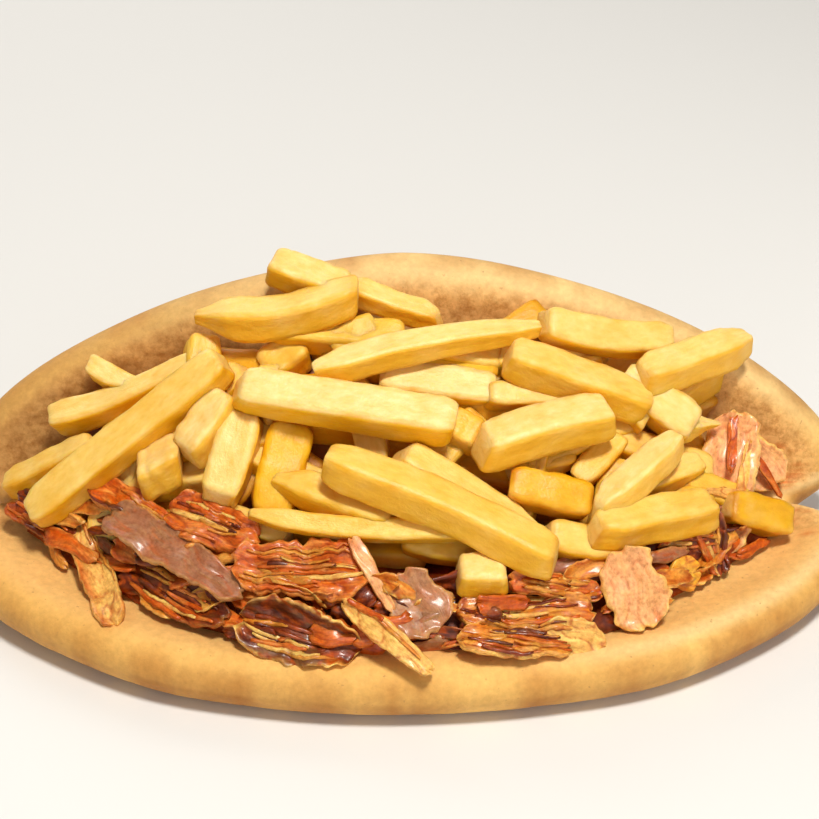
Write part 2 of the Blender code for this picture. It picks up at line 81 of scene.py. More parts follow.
# Noise layers: (height or share, size, seed).
OUTLINE_WAVES = ((0.012, 45.0, 3.7),)
FLAP_WAVES = ((1.5, 40.0, 8.1),)
FACE_WAVES = ((0.6, 22.0, 1.3),)
BREAD_SEGMENTS = 408
END_CROWDING = 0.2
RIM_STEPS = (0.0, 0.15, 0.5, 1.0, 1.8, 2.8, 4.0, 5.4, 7.0, 8.9, 11.0)
INNER_RINGS = 34
MIDDLE_INWARD = 60.0

# Where the filling lies, as seen from the front.
LOOK_DOWN = math.radians(35)
MIDDLE_Y = 60.0
EDGE_HEIGHT = 18.0
EDGE_REACH = 128.0
EDGE_LOW = 16.0
EDGE_RISE = 40.0
EDGE_POWER = 2.2
HEAP_BELOW_RIM = 20.0
HEAP_RISE = 0.66
HEAP_SLOPE = math.radians(41)
HEAP_NORMAL = Vector((0.0, -math.sin(HEAP_SLOPE), math.cos(HEAP_SLOPE)))

# Cores under the pieces that show, deeper than in the solid, where more pieces lie on them.
FRIES_CORE_DEPTH = 10.0
FRIES_CORE_START = 26.0
FRIES_CORE_ENDS = (-106.0, 96.0)
MEAT_CORE_DEPTH = 2.8
MEAT_BANK_UP = (2.5, 10.0, 20.0)
MEAT_BANK_SHRINK = 0.6
MEAT_LAYER_TOP = 27.0
MEAT_LAYER_FALL = 12.0
MEAT_LAYER_FLOOR = 16.5
MEAT_CORE_ENDS = (-118.0, 117.0)
CORE_REAR_Y = 33.0
CORE_REAR_SHARE = 0.62
CORE_STATIONS = 13
CORE_STEPS = (4, 3)

# Margin to the solid's box, and the depth over which points are eased back inside it.
SKIN = 0.02
EASE = 20.0

# Camera: the photograph is 819 pixels wide and shows this many millimetres at the heap.
SEEN_WIDTH = 245.7
SEEN_MIDDLE = (2.85, 90.75)
SEEN_DEPTH = -15.0
CAMERA_DISTANCE = 560.0
SENSOR_WIDTH = 36.0

# Fries: both ends (x, up, lift), thickness, tone (0 pale, 1 golden, above 1 darker toward brown as
# painted shade on fries in shadow), the sizes of both ends, and where it isn't straight, its sag
# and far width.
FRIES = (
    ((-40, 135.5, -3), (-17, 127, -4), 10.5, 0.15, 0.9, 0.9),
    ((-15, 128, -6), (12, 118, -6), 8, 0.25, 0.9, 0.7),
    ((-63, 119, 0), (-13, 126, -1), 12, 0.5, 0.35, 0.85, 3.5, 1),
    ((-41, 102, -7), (-30, 110, -7), 12, 0.7, 0.9, 0.9),
    ((-21, 110, -5), (-7.5, 117, -5), 8.5, 0.7, 0.9, 0.9),
    ((-25, 101.5, 3), (42, 115, 2), 10, 0.15, 0.5, 0.5, -2.5, 0.7),
    ((11, 108, -5), (31, 105, -5), 10.5, 0.6, 0.9, 0.9),
    ((-6, 100, -4), (26.5, 96, -4), 11.5, 0.1, 0.9, 0.9),
    ((-48.5, 97, 4), (16, 86.5, 3), 12.5, 0, 0.85, 0.85),
    ((26, 95, -2), (52, 94, -2), 8, 0.3, 0.9, 0.6),
    ((32.5, 106.5, 1), (75, 92, 1), 12, 0.45, 0.9, 0.9),
    ((69, 100, -1), (90, 84.5, 1), 12.5, 0.1, 0.8, 0.85),
    ((43.5, 117, 2), (84, 112.5, 0), 10.5, 0.3, 0.9, 0.7, 2, 1),
    ((73.5, 100, 3), (109, 112, 5), 11.5, 0.25, 0.8, 0.55),
    ((82, 86, -1), (99, 86, -1), 10.5, 0.05, 0.9, 0.3, 0, 0.6),
    ((24, 79, 3), (63, 89, 3), 12.5, 0.1, 0.9, 0.9, -1, 1),
    ((14, 87, -2), (24, 81.5, -2), 10.5, 0.75, 0.9, 0.9),
    ((61, 95, -1), (74.5, 86, -1), 8.5, 0.5, 0.8, 0.8, -2.5, 1),
    ((58.5, 60, 3), (84.5, 81.5, 3), 10.5, 0.05, 0.5, 0.6, 0, 0.9),
    ((70, 66, -2), (93, 74, -2), 8.5, 0.4, 0.8, 0.8),
    ((57, 55, 3), (95, 60.5, 3), 11.5, 0.55, 0.7, 0.85),
    ((32.5, 68, 0), (56.5, 63, 0), 11, 1.35, 0.9, 0.9),
    ((33.5, 72.5, -5), (52, 77, -5), 8.5, 0.8, 0.9, 0.9),
    ((54, 69.5, -4), (68, 82.5, -4), 9, 0.7, 0.8, 0.8),
    ((0, 77, 1), (41.5, 55, 1), 11.5, 0.45, 0.8, 0.4, 0, 0.5),
    ((-21.5, 75.5, 5), (45, 47, 5), 12.5, 0.6, 0.7, 0.8, -1.5, 1),
    ((-38, 70, -1), (-2, 58.5, -1), 10, 0.6, 0.4, 0.8),
    ((-44.5, 60, 1), (20, 56, 1), 5.5, 0.55, 0.5, 0.9, 2.5, 1.4),
    ((-33, 84.5, -5), (-39, 59, -5), 14, 1.1, 0.9, 0.8),
    ((-46, 89, -1), (-54.5, 63.5, 0), 12.5, 0.2, 0.8, 0.85),
    ((-51.5, 95, 1), (-64, 77, 1), 12, 0, 0.8, 0.85),
    ((-79, 70, 0), (-66.5, 76, 0), 13, 0.15, 0.95, 0.95),
    ((-113.5, 58, 5), (-53, 105, 4), 11.5, 0.5, 0.7, 0.85),
    ((-61, 107.5, -3), (-109, 87, 0), 6, 0.3, 0.6, 0.8, 2.5, 1.7),
    ((-124.5, 66, 0), (-95, 79.5, 0), 9, 0.5, 0.8, 0.8),
    ((-97, 104.5, 0), (-77, 99, -4), 8.5, 0.2, 0.8, 0.4, 2, 0.5),
    ((-47, 102, -3), (-72, 81.5, -3), 10, 0.6, 0.9, 0.9),
    ((17, 42.5, 1), (31, 42.5, 1), 10.5, 0.1, 0.95, 0.95),
    ((43, 53, -1), (63, 48.5, -1), 10.5, 0.5, 0.9, 0.7),
    ((84, 62.5, -2), (95, 61, -2), 9, 0.8, 0.9, 0.9),
    ((100, 61, 0), (121.5, 55.5, 1), 11, 1.4, 0.9, 0.85),
    ((86, 68, -4), (110, 60, -2), 9.5, 0.7, 0.9, 0.7),
)
STRAIGHT = (0.0, 1.0)
FRY_SLANT = 0.25
FRY_SQUASH = 0.9
FRY_ROLL = math.radians(20)
FRY_LEVELLED = math.radians(22)
FRY_STATIONS = 26
FRY_TWIST = 0.16
FRY_HOLLOW = (0.02, 0.1)
FRY_LEAN = 0.35
# Reach of a fry's pointed tip, and of its rounded, slanted, leaning and browned ends.
TIP_RUN = (3.0, 14.0)
END_ROUNDING = (0.17, 1.6)
SLANT_RUN = 7.0
LEAN_RUN = 5.0
BROWNED_RUN = 2.5
BLUNT_TIP = 0.5
TIP_FLATTENING = 0.4
# Unevenness of a fry: (size, noise rate) along it, and (size, noise size) over its skin.
FRY_WOBBLE = (0.6, 3.0)
FRY_WAIST = (0.06, 4.0)
FRY_CHIPS = (0.07, 3.0)
CHIPS_OFFSET = 0.3
DENT_WIDTH = 0.6
FRY_LUMPS = ((0.2, 5.0), (0.09, 1.7))
FRY_GRAIN = ((1.0, 7.0, 3.0), (0.6, 2.2, 9.0))
# How much paler a fry's face is painted as it turns up: painted light.
UPWARD_PAINTED_LIGHT = (0.35, 0.9)
# The cut end: size of its inner ring, how far that ring and the middle stand out, its noise, how pale.
CUT_RING = 0.75
CUT_OUT = (0.22, 0.1)
CUT_NOISE = (0.3, 2.5)
CUT_PALE = 0.45
FRIES_SEED = 5
FRIES_LOOK_SEED = 17
FILLER_FRIES = 22
FILLER_REACH = 92.0
FILLER_START = 30.0
FILLER_TURN = 0.6
FILLER_CROSSED = 1.2
FORESHORTENING = 0.7
GOLDEN_SHARE = 0.618
FILLER_LIFT = -5.0
FILLER_THICKNESS = (8.5, 11.5)
FILLER_LENGTH = (26.0, 44.0)
FILLER_JITTER = (0.2, 0.8)
FILLER_TIPS = (0.85, 0.85)
FILLER_TONE = (0.3, 0.9)
CROSSED_EVERY = 3
DEEP_FRIES = 40
DEEP_BELOW = 2.0
DEEP_SHIFT = 0.3
DEEP_HALF_LENGTH = (11.0, 19.0)
DEEP_THICKNESS = (9.0, 12.0)
DEEP_LIFT = (-12.0, -8.0)
DEEP_TIPS = (0.9, 0.9)
# Deep fries lie in the heap's gaps; their tones above 1 are painted shade.
DEEP_SHADED_TONE = (1.3, 2.1)
DEEP_STATIONS = 12
DEEP_SEED = 23

# Meat: both ends, width, thickness, curl, roll, the tone of its face, how fat its edges are, how
# browned its one side is and how many loose strands lie on it.
SHAVINGS = (
    ((-104, 60, -4), (-84, 29, 6), 10.5, 4, 1, 0, "cream", 0.9, 0.9, 2),
    ((-93, 66, 0), (-58.5, 51.5, 1), 11, 5, 1, 20, "crisp", 0.5, 0.5, 9),
    ((-87, 58, 1), (-46.5, 37, 2), 13, 7, 1, 10, "mauve", 0.3, 0, 0),
    ((-84, 44, -1), (-50, 28, -1), 12, 6, 1, 0, "dark", 0.2, 0.5, 10),
    # This curled slice's darkest tone is painted shade in its hollow.
    ((-46, 30, -1), (-11, 22, -1), 17, 4.5, 5, -15, "dark", 1, 0, 8),
    ((-49, 45, 1), (-9, 44, 1), 20, 6, 1, 15, "crisp", 0.4, 0.4, 18),
    ((-16.5, 36, 3), (9, 16, 3.5), 6.5, 3.5, 0.5, 0, "cream", 1, 0, 2),
    ((-14, 53, 0), (-2, 32, 0), 4.5, 3.5, 0, 0, "pink", 0.5, 0, 0),
    ((0, 43, 0), (10, 26, 0), 18, 5, 1.5, 0, "grey", 0.3, 0, 0),
    ((17, 33, 1), (56, 31, 1), 12, 5, 1, 20, "tan", 0.7, 0.5, 14),
    ((17, 24, 1), (50, 21, 1), 11, 4.5, 1, 25, "tan", 0.8, -0.5, 14),
    ((32, 41, 1), (60, 37, 1), 8, 5, 0.5, 0, "crisp", 0.5, 0.4, 12),
    ((42, 28, 2), (59, 21, 2), 12, 3.5, 1, 0, "cream", 1, 0, 0),
    ((64, 49, 3), (74, 27, 3), 20, 4, 1.5, 0, "pink", 0.9, 0, 0),
    ((81, 41, 0), (90, 42, 0), 10, 8, 0, 0, "gold", 0.3, 0, 0),
    ((92, 60, -1), (98, 40, -1), 11, 5, 1, 0, "dark", 0.1, 0.5, 12),
    # This dark strip at the left end is painted shade between the fries and the lip.
    ((-120, 61, -1), (-100, 50, -1), 11, 5, 1, 0, "dark", 0.1, 0.5, 8),
    ((-69, 60, -1), (-42, 52, -1), 15, 7, 1, 0, "crisp", 0.3, -0.5, 14),
    ((100, 46, -3), (106, 90, -1), 18, 4.5, 1, 0, "pink", 1, 0, 0),
    ((74, 52, -2), (100, 50, -2), 10, 6, 0, 0, "dark", 0.2, 0.5, 12),
)
# Small slices at the right end, on the slice above and on the inside of the fold.
END_SLICES = (
    ((109.5, 81, 0.5), (105.5, 64, 0.5), 3.2, 2, 0.3, 0, "cream", 1, 0, 0),
    ((94, 66, 1), (107, 64, 0.5), 3, 1.8, 0.3, 0, "cream", 0.9, 0.6, 0),
    ((105, 88, -2), (103, 72, 0), 3.4, 2, 0.3, 0, "crisp", 0.3, 0, 0),
    ((104, 84, -4), (120, 67, -4), 15, 2.4, 0.8, 0, "pink", 1, 0, 0),
    ((111, 77, -2), (121, 63, -2), 2.6, 1.8, 0.3, 0, "crisp", 0.3, 0.4, 0),
)
SLICE_THICKNESS = 3.0
SLICE_GRID = (40, 26)
SHRED_GRID = (14, 6)
SMOOTH_CUTS = {"mauve": 0.35, "grey": 0.35, "pink": 0.4, "gold": 0.6, "cream": 0.6}
SHAVINGS_SEED = 9
SHAVING_RAGGED = 0.16
SHREDS = 90
SHREDS_ALONG = (-106.0, 110.0)
SHREDS_UP = (4.0, 22.0)
SHRED_HALF_LENGTH = (4.0, 10.0)
# Limits of a shred's width, curl, roll in degrees and twist.
SHRED_FORM = ((2.6, 7.5), (-0.8, 1.8), (-45, 45), (-1.0, 1.0))
SHRED_ROUGH = 0.8
SHRED_RAGGED = 0.3
SHRED_BROWNED = (-0.6, 0.6)
SHRED_TURN = (-0.45, 0.45)
PHASES = (0.0, 6.0)
SHRED_THICKNESS = (1.2, 2.2)
SHRED_LIFT = (-2.0, 0.6)
SHRED_LOOKS = (("crisp", 0.2), ("dark", 0.0), ("tan", 0.4), ("crisp", 0.4), ("dark", 0.1),
               ("crisp", 0.1), ("mauve", 0.2), ("tan", 0.8))
MEAT_LOOK_SEED = 31
STRAND_WIDTH = (0.9, 2.2)
STRAND_SIDES = 6
STRAND_STATIONS = 14
STRAND_TONES = (("crisp", 0.3), ("tan", 0.4), ("dark", 0.4), ("cream", 0.5), ("crisp", 0.6))

# Colours, linear. The darkest tone is partly dark meat and partly painted shade: in creases, in the
# curled slice's hollow, on the strip at the left end and on the core under the slices.
TONES = {
    "tan": (0.76, 0.31, 0.035),
    "crisp": (0.66, 0.125, 0.004),
    "mauve": (0.36, 0.15, 0.075),
    "dark": (0.10, 0.010, 0.002),
    "cream": (0.98, 0.62, 0.17),
    "pink": (0.94, 0.50, 0.22),
    "grey": (0.46, 0.22, 0.11),
    "gold": (0.90, 0.45, 0.03),
}


class Pile:
    """Points, faces and per-point values of many pieces that end up in one mesh."""

    def __init__(self):
        self.points = []
        self.faces = []
        self.colours = []
        self.grains = []

    def add(self, rows, faces):
        """Adds a piece from rows of (point, colour, grain), where the grain may be left out."""
        base = len(self.points)
        self.faces.extend(tuple(index + base for index in face) for face in faces)
        for point, colour, *grain in rows:
            self.points.append(point)
            self.colours.append(colour)
            self.grains.append(grain[0] if grain else tuple(point))

    def make(self, name, node, material):
        mesh = bpy.data.meshes.new(name)
        fit_inside(self.points)
        mesh.from_pydata([(p[0] * MM, p[1] * MM, p[2] * MM) for p in self.points], [], self.faces)
        for attribute, values in (("tone", self.colours), ("grain", self.grains)):
            layer = mesh.color_attributes.new(attribute, "FLOAT_COLOR", "POINT")
            flat = [number for value in values for number in (*value, 1.0)[:4]]
            layer.data.foreach_set("color", flat)
        mesh.materials.append(material)
        mesh.shade_smooth()
        obj = new_object(name, mesh)
        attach(obj, "root")
        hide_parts(node)


def new_object(name, data):
    obj = bpy.data.objects.new(name, data)
    bpy.context.scene.collection.objects.link(obj)
    return obj


def tube_faces(rings, size):
    """Faces around a row of equal rings of points."""
    faces = []
    for ring in range(rings - 1):
        for step in range(size):
            one, two = ring * size + step, ring * size + (step + 1) % size
            faces.append((one, two, two + size, one + size))
    return faces


def end_faces(total, size):
    """The faces that close the first and the last ring of a tube."""
    return [tuple(reversed(range(size))), tuple(range(total - size, total))]


def fit_inside(points):
    """Eases back the points that would stand a hair outside the solid's box."""
    for axis in range(3):
        low, high = cad_box[0][axis] / MM + SKIN, cad_box[1][axis] / MM - SKIN
        below = max(0.0, low - min(point[axis] for point in points))
        above = max(0.0, max(point[axis] for point in points) - high)
        for point in points:
            point[axis] += below * smooth((low + EASE - point[axis]) / EASE)
            point[axis] -= above * smooth((point[axis] - high + EASE) / EASE)


def mix(one, two, part):
    part = min(1.0, max(0.0, part))
    return tuple(a + (b - a) * part for a, b in zip(one, two))


def smooth(value):
    value = min(1.0, max(0.0, value))
    return value * value * (3.0 - 2.0 * value)


def ramp(value, start, run):
    """Rises from 0 to 1 over a distance after a start."""
    return smooth((value - start) / run)


def zone(limits, *values):
    """Strength of a zone: its share, and how far it has set in at each of the values."""
    share, *runs = limits
    for value, run in zip(values, runs):
        share *= ramp(value, *run)
    return share


def noise_at(point, size=1.0, seed=0.0):
    return noise.noise(Vector((point[0] / size + seed, point[1] / size, point[2] / size)))


# Flatbread

def smooth_noise(a, b, size, seed):
    return noise.noise(Vector((a / size, b / size, seed)))


def layered_noise(a, b, layers, shift=0.0):
    return sum(share * smooth_noise(a, b, size, seed + shift) for share, size, seed in layers)


def bread_outline(turn):
    """Outline of the flat oval: along the fold and across it, from the fold line's middle."""
    sine, cosine = math.sin(turn), math.cos(turn)
    upper = sine > PINCH_AT
    pinch = UPPER_PINCH if upper else LOWER_PINCH
    longest = UPPER_HALF_LENGTH if upper else LOWER_HALF_LENGTH
    away = 1.0 - math.exp(-((sine - PINCH_AT) / pinch) ** 2)
    reach = FOLD_HALF_LENGTH + (longest - FOLD_HALF_LENGTH) * away
    power = 2.0 / (UPPER_SQUARENESS if sine > 0.0 else LOWER_SQUARENESS)
    a = math.copysign(reach * abs(cosine) ** power, cosine)
    b = math.copysign(abs(sine) ** power, sine) * (UPPER_DEPTH if sine > 0.0 else LOWER_DEPTH)
    uneven = 1.0 + layered_noise(a, b, OUTLINE_WAVES)
    return a * uneven, b * uneven


def rim_half_thickness(inward):
    """Half of the bread's thickness at a distance in from its outline: a round rim, thinner inside."""
    if inward < RIM_WIDTH:
        return RIM_HALF_THICKNESS * math.sqrt(1.0 - (1.0 - inward / RIM_WIDTH) ** 2)
    fade = ramp(inward, RIM_WIDTH, RIM_WIDTH)
    return RIM_HALF_THICKNESS + (HALF_THICKNESS - RIM_HALF_THICKNESS) * fade


def folded(a, b, offset):
    """A point of the folded bread, at an offset from its middle surface toward the filling."""
    run = b + LOWER_DEPTH
    bend_start = LOWER_DEPTH - FOLD_RADIUS * FOLD_ANGLE
    y = LIP_FRONT + min(run, bend_start)
    z = 0.0
    angle = 0.0
    if run > bend_start:
        angle = min((run - bend_start) / FOLD_RADIUS, FOLD_ANGLE)
        y += FOLD_RADIUS * math.sin(angle)
        z += FOLD_RADIUS * (1.0 - math.cos(angle))
    if b > 0.0:
        y += b * math.cos(FOLD_ANGLE)
        z += b * math.sin(FOLD_ANGLE)
    y -= offset * math.sin(angle)
    z += offset * math.cos(angle)
    return Vector((a, y - MIDDLE_Y, z + HALF_THICKNESS))


def bread_lean(a, b, inward):
    """How far the middle surface leaves the plain fold: a curled lip and a cupped upper flap."""
    ends = (a / LOWER_HALF_LENGTH) ** 2
    edge = max(0.0, 1.0 - inward / CURL_WIDTH) ** 2
    if b < 0.0:
        curl = (LIP_CURL + END_CURL * ends) * edge
        return curl * min(1.0, -b / CURL_WIDTH)
    rise = b / UPPER_DEPTH
    return (UPPER_CUP * ends + layered_noise(a, b, FLAP_WAVES)) * rise


# Colours of the bread, linear.
CRUST_LIGHT = (0.88, 0.53, 0.15)
CRUST_GOLD = (0.72, 0.36, 0.078)
CRUST_BROWN = (0.45, 0.18, 0.03)
CRUST_TAN = (0.52, 0.33, 0.115)
CRUST_PALE = (0.88, 0.66, 0.32)
CRUMB_PEACH = (0.84, 0.49, 0.16)
CRUMB_TAN = (0.44, 0.21, 0.055)
MEAT_STAIN = (0.72, 0.20, 0.03)

# Noise layers of the baked surface.
CRUST_RELIEF = ((0.28, 9.0, 5.0), (0.12, 3.5, 9.0))
CRUST_MOTTLE = ((1.0, 16.0, 21.0), (0.5, 6.0, 23.0))
CRUMB_MOTTLE = ((1.0, 12.0, 31.0), (0.7, 4.0, 33.0))
CRUMB_PITS = (0.35, 2.6, 12.0)
CRUMB_SUNK = 0.1
RELIEF_FADE = 2.0

# Zones of the bread: how strong each is, then (start, run) of each way in which it sets in.
CRUMB_FROM = (4.0, 9.0)
CRUMB_REAR = (-50.0, 30.0)
CRUMB_LEFT = (30.0, 60.0)
CRUMB_TAN_SHARES = (0.2, 0.45, 0.5, 0.1)
CRUST_GOLD_SHARES = (0.3, 0.6)
FLAP_PALE = (0.65, (0.0, 30.0), (-110.0, 90.0))
FLAP_LEFT_TAN = (0.7, (30.0, 60.0))
# Browner outer face and rim edge: baked crust, darkened further as painted shade where the bread faces
# down.
RIM_UNDER = (0.6, (-6.0, 6.0))
OUTSIDE_UNDER = (-5.0, 7.0)
UNDER_BROWN_AND_SHADE_SHARES = (0.65, 0.9)
LEFT_GOLD = (0.5, (50.0, 60.0))
# Paler top inside the lower lip toward the right: painted light.
LIP_RIGHT_PAINTED_LIGHT = (0.8, (15.0, 75.0), (2.0, 5.0))

# Stain: where it lies, how its sides fade, the size of its streaks, and its specks.
STAIN_ALONG = (98.0, 134.0)
STAIN_ACROSS = (-48.0, 16.0)
STAIN_FADE = (10.0, 8.0, 12.0)
STAIN_STREAK = (3.0, 9.0, 51.0)
STAIN_SPECKS = ((0.5, 1.6, 53.0),)
STAIN_CONTRAST = 1.6


def stain(a, b):
    """Streaks of meat juice on the inside of the fold, at its right end."""
    left, right, side = STAIN_FADE
    ends = ramp(a, STAIN_ALONG[0], left) * ramp(-a, -STAIN_ALONG[1], right)
    sides = ramp(b, STAIN_ACROSS[0], side) * ramp(-b, -STAIN_ACROSS[1], side)
    wide, tall, seed = STAIN_STREAK
    streak = noise.noise(Vector((a / wide, b / tall, seed))) + layered_noise(a, b, STAIN_SPECKS)
    return ends * sides * smooth(STAIN_CONTRAST * streak)


def crust_colour(a, b, inward, side, mottle):
    """Mottled gold, paler on the flap, tan at the left; paler on the right lip's top as painted light,
    and browner underneath, partly baked and partly painted shade.
    """
    least, gain = CRUST_GOLD_SHARES
    crust = mix(CRUST_LIGHT, CRUST_GOLD, least + gain * mottle)
    if b > 0.0:
        crust = mix(crust, CRUST_PALE, zone(FLAP_PALE, b, a))
        crust = mix(crust, CRUST_TAN, zone(FLAP_LEFT_TAN, -a))
    # Browner outer face and rim edge: partly baked crust, partly painted shade where the lip faces down.
    under = zone(RIM_UNDER, -inward) if side > 0 else ramp(inward, *OUTSIDE_UNDER)
    least, gain = UNDER_BROWN_AND_SHADE_SHARES
    crust = mix(crust, CRUST_BROWN, under * (least + gain * mottle))
    crust = mix(crust, CRUST_GOLD, zone(LEFT_GOLD, -a))
    # Painted light: the lower lip's top, on its inner side, turns paler toward the right.
    if b < 0.0 < side:
        crust = mix(crust, CRUST_PALE, zone(LIP_RIGHT_PAINTED_LIGHT, a, inward))
    return crust


def crumb_colour(a, b, rear, mottle):
    """The peach inside, tan and rough toward the fold and the left, stained at the right end."""
    least, roughness, left, fine = CRUMB_TAN_SHARES
    rough = layered_noise(a, b, CRUMB_MOTTLE)
    leftward = ramp(-a, *CRUMB_LEFT)
    tan = rear * (least + roughness * rough + left * leftward) + fine * mottle
    return mix(mix(CRUMB_PEACH, CRUMB_TAN, tan), MEAT_STAIN, stain(a, b))


def bread_point(a, b, inward, side):
    """One point of the baked surface with its relief, and its colour."""
    half = rim_half_thickness(inward)
    inner = ramp(inward, *CRUMB_FROM) if side > 0 else 0.0
    if side > 0:
        half += layered_noise(a, b, FACE_WAVES)
    relief = layered_noise(a, b, CRUST_RELIEF, side)
    share, size, seed = CRUMB_PITS
    relief += inner * share * abs(smooth_noise(a, b, size, seed)) - CRUMB_SUNK * inner
    fade = smooth(inward / RELIEF_FADE)
    point = folded(a, b, bread_lean(a, b, inward) + side * (half + relief * fade))
    if side < 0 and point.z < FLAT_BELOW:
        point.z = 0.0
    mottle = layered_noise(a, b, CRUST_MOTTLE)
    rear = ramp(b, *CRUMB_REAR)
    crust = crust_colour(a, b, inward, side, mottle)
    return point, (*mix(crust, crumb_colour(a, b, rear, mottle), inner), inner * rear)


def bread_rings(side):
    """(inward distance, fraction) pairs from the rim to near the middle."""
    steps = RIM_STEPS if side > 0 else RIM_STEPS[1:]
    inner = [(RIM_WIDTH, 1.0 - ring / INNER_RINGS) for ring in range(1, INNER_RINGS)]
    return [(step, 1.0) for step in steps] + inner


def make_bread():
    pile = Pile()
    rings = []
    for side in (1, -1):
        found = []
        for inward, fraction in bread_rings(side):
            ring = []
            for step in range(BREAD_SEGMENTS):
                turn = 2.0 * math.pi * (step + 0.5) / BREAD_SEGMENTS
                a, b = bread_outline(turn - END_CROWDING * math.sin(2.0 * turn))
                reach = math.hypot(a, b)
                scale = (1.0 - inward / reach) * fraction
                ring.append(bread_point(a * scale, b * scale, reach * (1.0 - scale), side))
            found.append(ring)
        rings += found[::-1] if side > 0 else found
    middles = [bread_point(0.0, 0.0, MIDDLE_INWARD, side) for side in (1, -1)]
    flat = [row for ring in rings for row in ring] + middles
    count = BREAD_SEGMENTS
    faces = [(one, four, three, two) for one, two, three, four in tube_faces(len(rings), count)]
    last = (len(rings) - 1) * count
    for step in range(count):
        after = (step + 1) % count
        faces.append((len(flat) - 2, step, after))
        faces.append((len(flat) - 1, last + after, last + step))
    pile.add(flat, faces)
    pile.make("flatbread", "bread", bread_material())


# Where the filling lies

def edge_up(x):
    """How far up the sight plane the filling starts, behind the lower lip."""
    return EDGE_LOW + EDGE_RISE * (abs(x) / EDGE_REACH) ** EDGE_POWER


def seen_at(x, up, lift):
    """The point that is seen at (x, up) from the front and lies `lift` above the heap's mean face."""
    z = EDGE_HEIGHT + HEAP_RISE * (up - edge_up(x)) + lift
    y = (up - z * math.cos(LOOK_DOWN)) / math.sin(LOOK_DOWN)
    return Vector((x, y - MIDDLE_Y, z))


def rim_across(x):
    """How far the upper flap reaches from the fold at a place along it."""
    along = min(1.0, abs(x) / UPPER_HALF_LENGTH)
    return UPPER_DEPTH * (1.0 - along ** UPPER_SQUARENESS) ** (1.0 / UPPER_SQUARENESS)


def heap_top_up(x):
    """How far up the sight plane the fries reach, below the flap's rim."""
    rim = folded(x, rim_across(x), HALF_THICKNESS)
    seen = (rim.y + MIDDLE_Y) * math.sin(LOOK_DOWN) + rim.z * math.cos(LOOK_DOWN)
    return seen - HEAP_BELOW_RIM


def core_places(left, right):
    """Where along the bread the cross-sections of a core lie."""
    return [left + (right - left) * step / (CORE_STATIONS - 1) for step in range(CORE_STATIONS)]


def meat_top(x):
    """Height of the meat layer under the fries."""
    return MEAT_LAYER_TOP - MEAT_LAYER_FALL * (abs(x) / EDGE_REACH) ** 3


def frame_along(start, end, roll):
    """Unit vectors along a piece, across it and out of the heap, turned about its length."""
    along = (end - start).normalized()
    across = along.cross(HEAP_NORMAL).normalized()
    outward = across.cross(along)
    turned = across * math.cos(roll) + outward * math.sin(roll)
    return along, turned, turned.cross(along)


# Fries

# Colours of the potato, linear.
POTATO_PALE = (0.94, 0.69, 0.27)
POTATO_YELLOW = (0.89, 0.51, 0.012)
POTATO_GOLD = (0.82, 0.39, 0.005)
POTATO_BROWN = (0.45, 0.13, 0.003)
# Colour of the heap's core: painted shade seen through the gaps between fries.
HEAP_GAP_SHADE = (0.22, 0.06, 0.003)

# One side of a fry's rounded square section: (out, across, how near the corner).
FRY_SIDE = ((1.0, -0.58, 0.0), (1.0, -0.2, 0.0), (1.0, 0.2, 0.0), (1.0, 0.58, 0.0),
            (0.975, 0.81, 0.7), (0.905, 0.905, 1.0), (0.81, 0.975, 0.7))


def fry_section():
    """The closed section of a fry, and how near a corner each of its points is."""
    section = []
    for quarter in range(4):
        turn = 0.5 * math.pi * quarter
        c, s = round(math.cos(turn)), round(math.sin(turn))
        section += [(out * c - side * s, out * s + side * c, near) for out, side, near in FRY_SIDE]
    return section


def fry_colour(tone, facing, corner, end, grain):
    """Pale on the broad upward faces, golden on the sides (painted light), browner on corners and ends,
    and darker above tone 1 (painted shade).
    """
    pale = mix(POTATO_PALE, POTATO_YELLOW, tone)
    colour = mix(POTATO_YELLOW, pale, facing)
    colour = mix(colour, POTATO_GOLD, (0.1 + 0.5 * tone) * (1.0 - facing) + 0.5 * max(0.0, grain))
    colour = mix(colour, POTATO_PALE, 0.45 * max(0.0, -grain))
    colour = mix(colour, POTATO_GOLD, (0.2 + 0.35 * tone) * corner * (0.5 + grain))
    # Painted shade: tones above 1, on fries deep in the heap or in shadow, darken toward brown.
    colour = mix(colour, POTATO_BROWN, 0.55 * (tone - 1.0))
    return mix(colour, POTATO_BROWN, 0.4 * end * (0.15 + tone) * (0.6 + grain))


